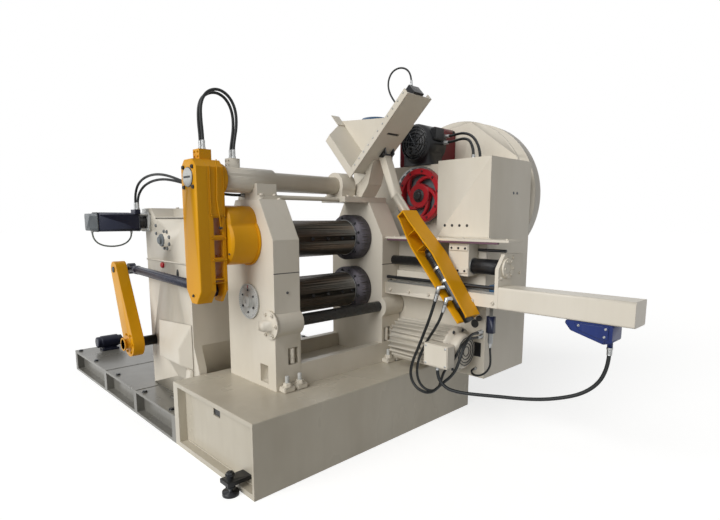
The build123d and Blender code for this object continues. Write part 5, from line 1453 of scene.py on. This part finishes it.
    def linkage_details(self) -> None:
        """Set the rod's end nuts, the rear arm's cap, its bolts, the pin's head and the hub ring."""
        start, end = (Vector((self.rod_x, *pin)) for pin in self.rod_pins)
        along = (end - start).normalized()
        nuts = Shape()
        for base, way in ((start + along * 0.098, along), (end - along * 0.098, -along)):
            nuts.turned([(0, 0), (0, 0.036), (0.004, 0.038), (0.030, 0.038), (0.034, 0.034), (0.034, 0)],
                        tuple(base), tuple(way), 6)
            nuts.turned([(0, 0), (0, 0.0355), (0.018, 0.0355), (0.020, 0.033), (0.020, 0)],
                        tuple(base + way * 0.036), tuple(way), 32)
        nuts.finish("rod_nuts", self.palette, Finish.NAVY, "rod_body", bevel=0.0015)
        pivot = self.arm_pivot
        cap = Shape().turned([(0, 0), (0, 0.052), (0.008, 0.052), (0.012, 0.047), (0.012, 0.016),
                              (0.008, 0.014), (0.008, 0)], (-1.032, *pivot), (1, 0, 0), 48)
        cap.finish("rear_pivot_cap", self.palette, Finish.YELLOW, "rear_arm_body")
        self.bolts("rear_pivot_bolts", circle_points((self.arm_back, *pivot), Direction.LEFT, 0.078, 6),
                   Direction.LEFT, 0.009, BoltStyle.SOCKET, Finish.YELLOW, body="rear_arm_body")
        pin = Shape().turned([(0, 0), (0, 0.024), (0.006, 0.024), (0.009, 0.020), (0.009, 0)],
                             (self.arm_back, *self.rod_pins[1]), (-1, 0, 0), 32)
        pin.finish("rear_pin_head", self.palette, Finish.DARK_STEEL, "rear_arm_body")
        weld = Shape().ring((-0.990, *pivot), (1, 0, 0), 0.041, 0.060, 0.006, 48)
        weld.finish("rear_hub_ring", self.palette, Finish.YELLOW, "rear_arm_body", bevel=0.002)


@dataclass
class DriveUnit(Assembly):
    """The drive housing with its clutch, flywheel cover and motors."""

    left: float = 0.599
    right: float = 1.144
    front: float = -1.060
    wheel: Point = (0.651, -0.410, 1.725)
    motor: Point = (0.690, -0.330, 2.125)
    blower: tuple[float, float] = (0.840, 0.240)
    spokes: int = 5
    spoke_steps: int = 9

    def build(self) -> None:
        """Dress the drive and set its wheel, fins and fasteners."""
        palette = self.palette
        palette.smooth("drive_housing", Finish.CREAM, 25)
        palette.smooth("clutch_disc", Finish.GREY, 30)
        palette.smooth("flywheel_cover", Finish.CREAM, 20)
        palette.smooth("main_motor", Finish.BLACK, 30)
        palette.smooth("belt_guard", Finish.MAROON, 30)
        palette.smooth("blower_motor", Finish.SKY, 30)
        self.clutch()
        self.housing_details()
        self.cover_details()
        self.motor_details()

    def clutch(self) -> None:
        """Build the red wheel with curved spokes, its hub and the disc's bolts."""
        x, y, z = self.wheel
        wheel = Shape()
        wheel.ring((x, y, z), (1, 0, 0), 0.160, 0.203, 0.052, 72)
        wheel.ring((x + 0.004, y, z), (1, 0, 0), 0.046, 0.092, 0.046, 48)
        for k in range(self.spokes):
            outline = []
            for i in range(2 * self.spoke_steps):
                back = i >= self.spoke_steps
                step = 2 * self.spoke_steps - 1 - i if back else i
                t = step / (self.spoke_steps - 1)
                radius = 0.088 + 0.078 * t
                width = (0.13 + 0.10 * (1 - t)) * (1 if back else -1)
                angle = FULL_TURN * k / self.spokes + 0.95 * t + width
                outline.append((x + 0.010, y + radius * math.cos(angle), z + radius * math.sin(angle)))
            wheel.prism(outline, (0.030, 0, 0))
        wheel.finish("clutch_wheel_dressed", self.palette, Finish.RED, "clutch_body", bevel=0.003)
        profile = [(0, 0), (0, 0.030), (0.006, 0.034), (0.020, 0.036), (0.024, 0.050), (0.060, 0.050),
                   (0.079, 0.048), (0.079, 0.0379), (0.512, 0.0379), (0.512, 0)]
        hub = Shape().turned(profile, (x - 0.024, y, z), (1, 0, 0), 40)
        axle = hub.finish("clutch_hub", self.palette, Finish.DARK_STEEL, "clutch_body")
        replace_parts(axle, "clutch_wheel")
        self.bolts("clutch_rim_bolts", circle_points((x, y, z), Direction.LEFT, 0.182, 10, 9),
                   Direction.LEFT, 0.0085, finish=Finish.MAROON, body="clutch_body")
        disc = (0.714, y + 0.060, z)
        self.bolts("disc_bolts", circle_points(disc, Direction.LEFT, 0.208, 20), Direction.LEFT, 0.009,
                   finish=Finish.BRIGHT)
        rim = Shape().ring((0.711, *disc[1:]), (1, 0, 0), 0.216, 0.2245, 0.004, 72)
        rim.finish("disc_rim", self.palette, Finish.BRIGHT)

    def housing_details(self) -> None:
        """Set the seam, plugs and knobs of the drive housing, with thin black discs and plates of painted
        shade for its small holes and openings.
        """
        x = self.left
        seams = Shape()
        seams.box((x - 0.003, self.front + 0.006, 1.424), (x, -0.632, 1.430))
        seams.finish("housing_seams", self.palette, Finish.CREAM)
        self.bolts("front_plugs", grid((0.90, 0.95), self.front, 1.73), Direction.FRONT, 0.008,
                   BoltStyle.BUTTON, Finish.GREY)
        # Painted shade: thin black discs stand for the dark inside of the small holes.
        hole_shades = Shape()
        for i in range(4):
            hole_shades.turned([(0, 0), (0, 0.010), (0.0015, 0.010), (0.0015, 0)], (x, -0.70 - i * 0.062, 1.505),
                         (-1, 0, 0), 20)
        hole_shades.finish("small_holes", self.palette, Finish.PLASTIC)
        # Painted shade: a thin black plate and disc stand for the dark inside of the side openings.
        opening_shades = Shape().box((x - 0.0015, -1.03, 0.60), (x, -0.965, 0.70))
        opening_shades.turned([(0, 0), (0, 0.030), (0.0015, 0.030), (0.0015, 0)], (x, -0.975, 0.83), (-1, 0, 0), 32)
        opening_shades.finish("side_openings", self.palette, Finish.PLASTIC)
        knobs = Shape()
        for ky, kz in ((-0.985, 0.93), (-1.020, 0.875)):
            knobs.turned([(0, 0), (0, 0.010), (0.014, 0.010), (0.016, 0.019), (0.030, 0.019), (0.033, 0.015),
                          (0.033, 0)], (x, ky, kz), (-1, 0, 0), 24)
        knobs.finish("side_knobs", self.palette, Finish.PLASTIC)

    def cover_details(self) -> None:
        """Set the flywheel cover's flange, its stiffening ring and its bolts."""
        y, z = self.wheel[1:]
        flange = Shape()
        flange.ring((self.right, y, z), (1, 0, 0), 0.598, 0.6035, 0.014, 96)
        flange.ring((self.right + 0.262, y, z), (1, 0, 0), 0.46, 0.50, 0.0175, 96)
        flange.finish("flywheel_cover_rings", self.palette, Finish.CREAM, bevel=0.002)
        back = [(self.right, yy, zz) for yy, zz in ((0.24, 1.30), (0.24, 0.60), (-0.90, 0.60), (-0.90, 0.95))]
        self.bolts("drive_back_bolts", back, Direction.RIGHT, 0.014)

    def motor_details(self) -> None:
        """Set fins and boxes on the motors and the guard's louvres."""
        x, y, z = self.motor
        fins, count = Shape(), 28
        for i in range(count):
            angle = FULL_TURN * i / count
            side = Vector((0, math.cos(angle), math.sin(angle)))
            if side.z >= -0.25:
                across = Vector((0, -side.z, side.y)) * 0.002
                fins.fin(Vector((x + 0.03, y, z)), side, 0.137, 0.1415, across, (0.17, 0, 0))
        fins.finish("main_motor_fins", self.palette, Finish.BLACK)
        grille = Shape()
        for r in (0.05, 0.075, 0.10, 0.12):
            grille.ring((x - 0.006, y, z), (1, 0, 0), r, r + 0.006, 0.006, 48)
        for k in range(4):
            angle = math.pi * k / 4 + 0.2
            way = Vector((0, math.cos(angle), math.sin(angle))) * 0.124
            mid = Vector((x - 0.003, y, z))
            grille.rod(tuple(mid - way), tuple(mid + way), 0.003, 8)
        grille.finish("main_motor_grille", self.palette, Finish.DARK_STEEL)
        box = Shape().box((0.735, y - 0.165, z + 0.015), (0.845, y - 0.115, z + 0.105))
        box.finish("main_motor_box", self.palette, Finish.BLACK, bevel=0.006)
        guard = Shape()
        for i in range(6):
            guard.box((1.1375, -0.33 + i * 0.05, 2.02), (1.1430, -0.30 + i * 0.05, 2.19))
        guard.finish("belt_guard_louvres", self.palette, Finish.MAROON, bevel=0.0015)
        self.bolts("belt_guard_bolts", grid((0.93, 1.11), -0.39, (1.985, 2.245)), Direction.FRONT, 0.009,
                   finish=Finish.BLACK)
        bx, by = self.blower
        blue, count = Shape(), 26
        for i in range(count):
            angle = FULL_TURN * i / count
            side = Vector((math.cos(angle), math.sin(angle), 0))
            across = Vector((-side.y, side.x, 0)) * 0.0022
            blue.fin(Vector((bx, by, 2.03)), side, 0.147, 0.158, across, (0, 0, 0.30))
        blue.finish("blower_fins", self.palette, Finish.SKY)
        bands = Shape()
        bands.ring((bx, by, 1.962), (0, 0, 1), 0.148, 0.166, 0.022, 56)
        bands.ring((bx, by, 2.352), (0, 0, 1), 0.100, 0.1515, 0.006, 56)
        bands.finish("blower_bands", self.palette, Finish.SKY, bevel=0.002)
        self.bolts("blower_bolts", circle_points((bx, by, 1.984), Direction.UP, 0.158, 8), Direction.UP,
                   0.008)


@dataclass
class FeedLine(Assembly):
    """The guideway with its carriage, shaft, beam, motors and valve."""

    left: float = 0.424
    wall: float = 0.599
    back: float = -0.284
    front: float = -1.244
    shaft: tuple[float, float] = (0.522, 1.240)
    pump: Point = (0.438, -1.017, 0.668)
    motor_face: float = 0.4345

    def build(self) -> None:
        """Dress the feed line and set its details."""
        palette = self.palette
        palette.smooth("guideway_frame", Finish.CREAM, 25)
        palette.smooth("guide_shaft", Finish.DARK_STEEL, 30, self.shaft_look)
        palette.smooth("carriage", Finish.CREAM, 30, self.carriage_look)
        palette.smooth("feed_beam", Finish.CREAM, 30)
        palette.smooth("feed_motor", Finish.BLUE, 30)
        palette.smooth("pump_motor", Finish.CREAM, 30)
        palette.paint(Finish.CREAM, "terminal_box")
        palette.smooth("drain_valve", Finish.BRIGHT, 30, self.valve_look)
        self.guideway_details()
        self.carriage_details()
        self.beam_details()
        self.pump_details()

    def from_shaft(self, middle: Vector) -> float:
        """Return a point's distance from the guide shaft's axis."""
        return math.hypot(middle.x - self.shaft[0], middle.z - self.shaft[1])

    def shaft_look(self, middle: Vector, normal: Vector) -> Finish:
        """Return black enamel for the barrel and dark steel for the shaft."""
        return Finish.BLACK if self.from_shaft(middle) > 0.0345 else Finish.DARK_STEEL

    def carriage_look(self, middle: Vector, normal: Vector) -> Finish:
        """Return bright metal for the carriage's bore and enamel for the rest."""
        return Finish.BRIGHT if self.from_shaft(middle) < 0.036 else Finish.CREAM

    def valve_look(self, middle: Vector, normal: Vector) -> Finish:
        """Return navy for the valve's body and steel for its pipes."""
        return Finish.NAVY if 0.808 < middle.z < 0.922 else Finish.BRIGHT

    def guideway_details(self) -> None:
        """Set the strips, rods, ledge bolts and the bearing ring of the guideway."""
        strip = Shape()
        strip.box((self.left + 0.004, self.back - 0.94, 1.392), (self.left + 0.030, self.back - 0.01, 1.4045))
        strip.finish("wiper_strip", self.palette, Finish.PLUM, bevel=0.0015)
        ways = Shape()
        ways.box((self.left + 0.020, self.front + 0.03, 1.075), (self.left + 0.055, self.back - 0.005, 1.088))
        ways.box((self.wall - 0.055, self.front + 0.03, 1.075), (self.wall - 0.025, self.back - 0.005, 1.088))
        ways.finish("slide_ways", self.palette, Finish.BRIGHT, bevel=0.0015)
        rods = Shape()
        rods.rod((0.448, self.front + 0.028, 1.115), (0.448, self.back - 0.004, 1.115), 0.012, 20)
        rods.rod((0.560, self.front + 0.028, 1.345), (0.560, -1.010, 1.345), 0.010, 20)
        rods.finish("limit_rods", self.palette, Finish.DARK_STEEL)
        inner = Shape()
        inner.box((0.548, -0.825, 1.105), (0.579, self.back - 0.008, 1.160))
        inner.finish("inner_rail", self.palette, Finish.CREAM, bevel=0.003)
        ring = Shape()
        x, z = self.shaft
        ring.ring((x, self.front - 0.016, z), (0, 1, 0), 0.030, 0.066, 0.016, 56)
        ring.turned([(0, 0), (0, 0.030), (0.010, 0.030), (0.012, 0.026), (0.012, 0)],
                    (x, self.front - 0.012, z), (0, 1, 0), 40)
        ring.finish("end_bearing", self.palette, Finish.CREAM, bevel=0.0015)
        self.bolts("end_bearing_bolts",
                   circle_points((x, self.front - 0.016, z), Direction.FRONT, 0.049, 6), Direction.FRONT,
                   0.0075, BoltStyle.SOCKET, Finish.CREAM)
        end_plate = [(bx, self.front, bz) for bx, bz in ((0.455, 1.030), (0.66, 1.030), (0.69, 1.20),
                                                         (0.60, 1.305), (0.455, 1.180))]
        self.bolts("end_plate_bolts", end_plate, Direction.FRONT, 0.010, finish=Finish.CREAM)
        ledge = grid(self.left + 0.022, (-0.36, -0.56, -0.76, -0.96, -1.16, -1.28), 1.420)
        self.bolts("ledge_bolts", ledge, Direction.UP, 0.0085, BoltStyle.SOCKET, Finish.CREAM)
        rail = grid(self.left, (-0.34, -0.52, -0.70, -0.88, -1.06, -1.21), 1.022)
        self.bolts("rail_bolts", rail, Direction.LEFT, 0.0105, BoltStyle.SOCKET, Finish.CREAM)
        block = Shape().box((0.448, -1.235, 1.088), (0.500, -1.165, 1.132))
        block.finish("limit_block", self.palette, Finish.SKY, bevel=0.003)

    def carriage_details(self) -> None:
        """Set the carriage's straps, screws and seal."""
        straps = Shape()
        for z in (1.190, 1.340):
            straps.box((0.452, -0.995, z), (0.458, -0.847, z + 0.035))
        straps.finish("carriage_straps", self.palette, Finish.CREAM, "carriage_body", bevel=0.0015)
        self.bolts("carriage_screws", grid(0.452, (-0.975, -0.921, -0.867), (1.2075, 1.3575)),
                   Direction.LEFT, 0.0065, BoltStyle.SOCKET, body="carriage_body")
        seal = Shape().ring((self.shaft[0], -1.006, self.shaft[1]), (0, 1, 0), 0.0345, 0.055, 0.006, 48)
        seal.finish("carriage_seal", self.palette, Finish.BRIGHT, "carriage_body")

    def beam_details(self) -> None:
        """Set the feed motor's lid and screws."""
        outline = ((-1.905, 0.975), (-1.72, 0.975), (-1.745, 0.935), (-1.87, 0.900), (-1.905, 0.905))
        lid = Shape().prism([(self.motor_face, y, z) for y, z in outline], (0.0045, 0, 0))
        lid.finish("feed_motor_lid", self.palette, Finish.BLUE, bevel=0.0015)
        screws = [(self.motor_face, y, z) for y, z in ((-1.890, 0.962), (-1.745, 0.962), (-1.885, 0.918))]
        self.bolts("feed_motor_screws", screws, Direction.LEFT, 0.006, BoltStyle.SOCKET, Finish.BRIGHT)

    def pump_details(self) -> None:
        """Set the pump motor's fan grille and the terminal box's lid."""
        x, y, z = self.pump
        grille = Shape()
        for r in (0.030, 0.052, 0.074, 0.092):
            grille.ring((x, y - 0.0035, z), (0, 1, 0), r, r + 0.005, 0.0035, 48)
        grille.finish("fan_grille", self.palette, Finish.BLACK)
        flange = circle_points((x, -0.947, z), Direction.FRONT, 0.138, 8, 22)
        self.bolts("pump_flange_bolts", flange, Direction.FRONT, 0.010)
        lid = Shape().box((0.199, -1.030, 0.598), (0.202, -0.850, 0.738))
        lid.finish("terminal_lid", self.palette, Finish.CREAM, bevel=0.001)
        self.bolts("terminal_screws", grid(0.199, (-1.018, -0.862), (0.610, 0.726)), Direction.LEFT, 0.0065,
                   BoltStyle.BUTTON, Finish.BRIGHT)


@dataclass
class FeedArm(Assembly):
    """The yellow arm with its lift cylinder."""

    top: Vector = field(default_factory=lambda: Vector((0.344, -0.555, 1.590)))
    end: Vector = field(default_factory=lambda: Vector((0.344, -1.087, 0.915)))

    def build(self) -> None:
        """Dress the arm and cylinder and set their fasteners."""
        palette = self.palette
        palette.smooth("feed_arm", Finish.YELLOW, 25)
        palette.smooth("lift_cylinder", Finish.DARK_STEEL, 30, self.cylinder_look)
        palette.smooth("piston_rod", Finish.CHROME, 30)
        palette.smooth("chute_post", Finish.CREAM, 25)
        self.details()

    def along(self, distance: float, across: float = 0.0, x: float | None = None) -> Vector:
        """Return a point down the arm.

        Args:
            distance: Distance from the arm's top end.
            across: Distance to the arm's upper side.
            x: The row X of the point, the arm's middle if left out.

        Returns:
            The point.
        """
        way = (self.end - self.top).normalized()
        point = self.top + way * distance + way.cross(Vector((1, 0, 0))) * across
        if x is not None:
            point.x = x
        return point

    def cylinder_look(self, middle: Vector, normal: Vector) -> Finish:
        """Return steel for the ports' elbows and enamel for the cylinder."""
        return Finish.BRIGHT if middle.x < 0.305 else Finish.DARK_STEEL

    def details(self) -> None:
        """Set the cylinder's heads and bands, and the arm's bolts and ribs."""
        way = tuple((self.end - self.top).normalized())
        heads = Shape()
        for start, length in ((0.345, 0.030), (0.742, 0.032)):
            profile = [(0, 0), (0, 0.035), (0.003, 0.038), (length - 0.003, 0.038),
                       (length, 0.035), (length, 0)]
            heads.turned(profile, tuple(self.along(start)), way, 40)
        heads.finish("cylinder_heads", self.palette, Finish.BLACK)
        band = Shape()
        for start in (0.46, 0.56):
            band.ring(tuple(self.along(start)), way, 0.0355, 0.0395, 0.016, 40)
        band.finish("cylinder_bands", self.palette, Finish.BRIGHT)
        spots = [tuple(self.along(s, a, 0.424)) for s, a in ((0.05, 0.0), (0.14, 0.02), (0.80, 0.02))]
        self.bolts("arm_side_bolts", spots, Direction.RIGHT, 0.010)
        ribs = Shape()
        for s in (0.16, 0.29):
            a, b = self.along(s, 0.030, 0.285), self.along(s, -0.042, 0.285)
            thick = Vector(way) * 0.006
            ribs.prism([a, b, b + thick, a + thick], (0.128, 0, 0))
        ribs.finish("feed_arm_ribs", self.palette, Finish.YELLOW, bevel=0.0015)


@dataclass
class Chute(Assembly):
    """The chute with its magazine, stop and sensor."""

    low: Vector = field(default_factory=lambda: Vector((0.339, -0.160, 1.890)))
    high: Vector = field(default_factory=lambda: Vector((0.339, -0.663, 2.354)))

    def build(self) -> None:
        """Dress the chute and set its screws and hinge."""
        palette = self.palette
        palette.smooth("chute", Finish.CREAM, 25, self.stop_look)
        palette.paint(Finish.CREAM, "magazine")
        palette.smooth("sensor_box", Finish.BLACK, 30)
        self.details()

    def place(self, distance: float, up: float, x: float) -> Point:
        """Return a point on the chute, up its length and off its plate."""
        way = (self.high - self.low).normalized()
        point = self.low + way * distance + way.cross(Vector((1, 0, 0))) * up
        return (x, point.y, point.z)

    def stop_look(self, middle: Vector, normal: Vector) -> Finish:
        """Return black for the stop and its block and cream for the chute."""
        way = (self.high - self.low).normalized()
        rise = (middle - self.low).dot(way.cross(Vector((1, 0, 0))))
        run = (middle - self.low).dot(way)
        stop = rise > 0.0085 and 0.232 < middle.x < 0.448 and 0.05 < run < 0.26
        return Finish.BLACK if stop else Finish.CREAM

    def details(self) -> None:
        """Set the flange screws, the stop's rings, the window plate and the hinge."""
        rows = (("chute_screws_left", 0.04, 0.062, 11, 0.214, Direction.LEFT),
                ("chute_screws_right", 0.49, 0.06, 4, 0.464, Direction.RIGHT))
        for name, start, step, count, x, direction in rows:
            spots = [self.place(start + i * step, 0.032, x) for i in range(count)]
            self.bolts(name, spots, direction, 0.0055, BoltStyle.BUTTON, Finish.SILVER)
        way = tuple((self.high - self.low).normalized())
        rod = Shape()
        rod.ring(self.place(0.225, 0.058, 0.309), way, 0.0128, 0.0175, 0.014, 32)
        rod.ring(self.place(0.066, 0.058, 0.309), way, 0.0128, 0.0170, 0.010, 32)
        rod.finish("stop_rings", self.palette, Finish.BRIGHT)
        plate = Shape()
        corners_up = ((0.325, 0.0085), (0.405, 0.0085), (0.405, 0.0145), (0.325, 0.0145))
        plate.prism([self.place(run, rise, 0.24) for run, rise in corners_up], (0.20, 0, 0))
        plate.finish("chute_window_plate", self.palette, Finish.PLASTIC)
        hinge = Shape()
        for x0 in (0.350, 0.436):
            outline = ((0.160, -0.001), (0.250, -0.001), (0.226, -0.034), (0.184, -0.034))
            hinge.prism([self.place(run, rise, x0) for run, rise in outline], (0.010, 0, 0))
        hinge.rod(self.place(0.205, -0.022, 0.344), self.place(0.205, -0.022, 0.452), 0.008, 16)
        hinge.finish("chute_hinge", self.palette, Finish.DARK_STEEL, bevel=0.001)


@dataclass
class Studio:
    """The floor, the light and the camera."""

    camera_place: Point = (-2.325, -2.829, 1.55)
    forward: Point = (0.695 * 0.9898, 0.719 * 0.9898, -0.1426)
    lens: float = 24.65
    shift: tuple[float, float] = (0.0028, 0.0417)
    sky: float = 0.22
    key: float = 2.50
    floor_lift: float = 0.68
    floor_colour: Colour = (0.55, 0.55, 0.54)
    floor_half: float = 60.0
    key_from: Point = (-0.86, -0.06, 0.48)
    key_width: float = 50.0

    def build(self) -> None:
        """Build the studio."""
        self.floor()
        self.world()
        self.lamps()
        self.camera()

    def plain_rays(self, tree: Tree) -> Socket:
        """Return a factor of 1 for rays that show the background itself."""
        path = tree.nodes.new("ShaderNodeLightPath")
        total = path.outputs["Is Camera Ray"]
        for title in ("Is Glossy Ray", "Is Transmission Ray"):
            total = combine(tree, "MAXIMUM", total, path.outputs[title])
        return total

    def floor(self) -> None:
        """Lay a pale floor whose camera rays are lifted to white."""
        material = bpy.data.materials.new("studio_floor")
        material.use_nodes = True
        tree = material.node_tree
        lift = combine(tree, "MULTIPLY", self.plain_rays(tree), self.floor_lift)
        feed(tree, tree.nodes["Principled BSDF"], {
            "Base Color": (*self.floor_colour, 1), "Roughness": 0.9, "Specular IOR Level": 0.0,
            "Emission Color": (1, 1, 1, 1), "Emission Strength": lift})
        mesh = bpy.data.meshes.new("floor")
        half = self.floor_half
        mesh.from_pydata([(-half, -half, 0), (half, -half, 0), (half, half, 0), (-half, half, 0)], [],
                         [(0, 1, 2, 3)])
        mesh.materials.append(material)
        floor = bpy.data.objects.new("floor", mesh)
        bpy.context.scene.collection.objects.link(floor)

    def world(self) -> None:
        """Light everything softly and show white behind it."""
        world = bpy.data.worlds.new("studio")
        world.use_nodes = True
        bpy.context.scene.world = world
        tree = world.node_tree
        strength = map_range(tree, self.plain_rays(tree), 0.0, 1.0, self.sky, 1.0)
        feed(tree, tree.nodes["Background"], {"Color": (1, 1, 1, 1), "Strength": strength})

    def lamps(self) -> None:
        """Set the broad key light from the operator's end."""
        lamp = bpy.data.lights.new("key", "SUN")
        lamp.energy = self.key
        lamp.angle = math.radians(self.key_width)
        holder = bpy.data.objects.new("key", lamp)
        holder.rotation_euler = Vector(self.key_from).to_track_quat("Z", "Y").to_euler()
        bpy.context.scene.collection.objects.link(holder)

    def camera(self) -> None:
        """Stand the camera where the photograph was taken from."""
        data = bpy.data.cameras.new("camera")
        data.lens = self.lens
        data.sensor_width = 36
        data.shift_x, data.shift_y = self.shift
        data.clip_end = 200
        camera = bpy.data.objects.new("camera", data)
        camera.location = self.camera_place
        camera.rotation_euler = Vector(self.forward).to_track_quat("-Z", "Y").to_euler()
        bpy.context.scene.collection.objects.link(camera)
        bpy.context.scene.camera = camera
        bpy.context.scene.view_settings.view_transform = "Standard"


def main() -> None:
    """Build the machine's looks and the studio round it."""
    logging.basicConfig(level=logging.INFO, format="%(message)s")
    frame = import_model()
    members = frame["record"]["behaviour"]["bodies"]
    bodies = {node: body for body, nodes in members.items() for node in nodes}
    palette = Palette(frame["nodes"], bodies)
    repeats = Repeats(palette)
    for assembly in (BaseFrame, RollStand, Rocker, RearDrive, DriveUnit, FeedLine, FeedArm, Chute):
        assembly(palette, repeats).build()
        log.info("%s built", assembly.__name__)
    for hose in HOSES:
        hose.build(palette)
    Studio().build()


if __name__ == "__main__":
    main()
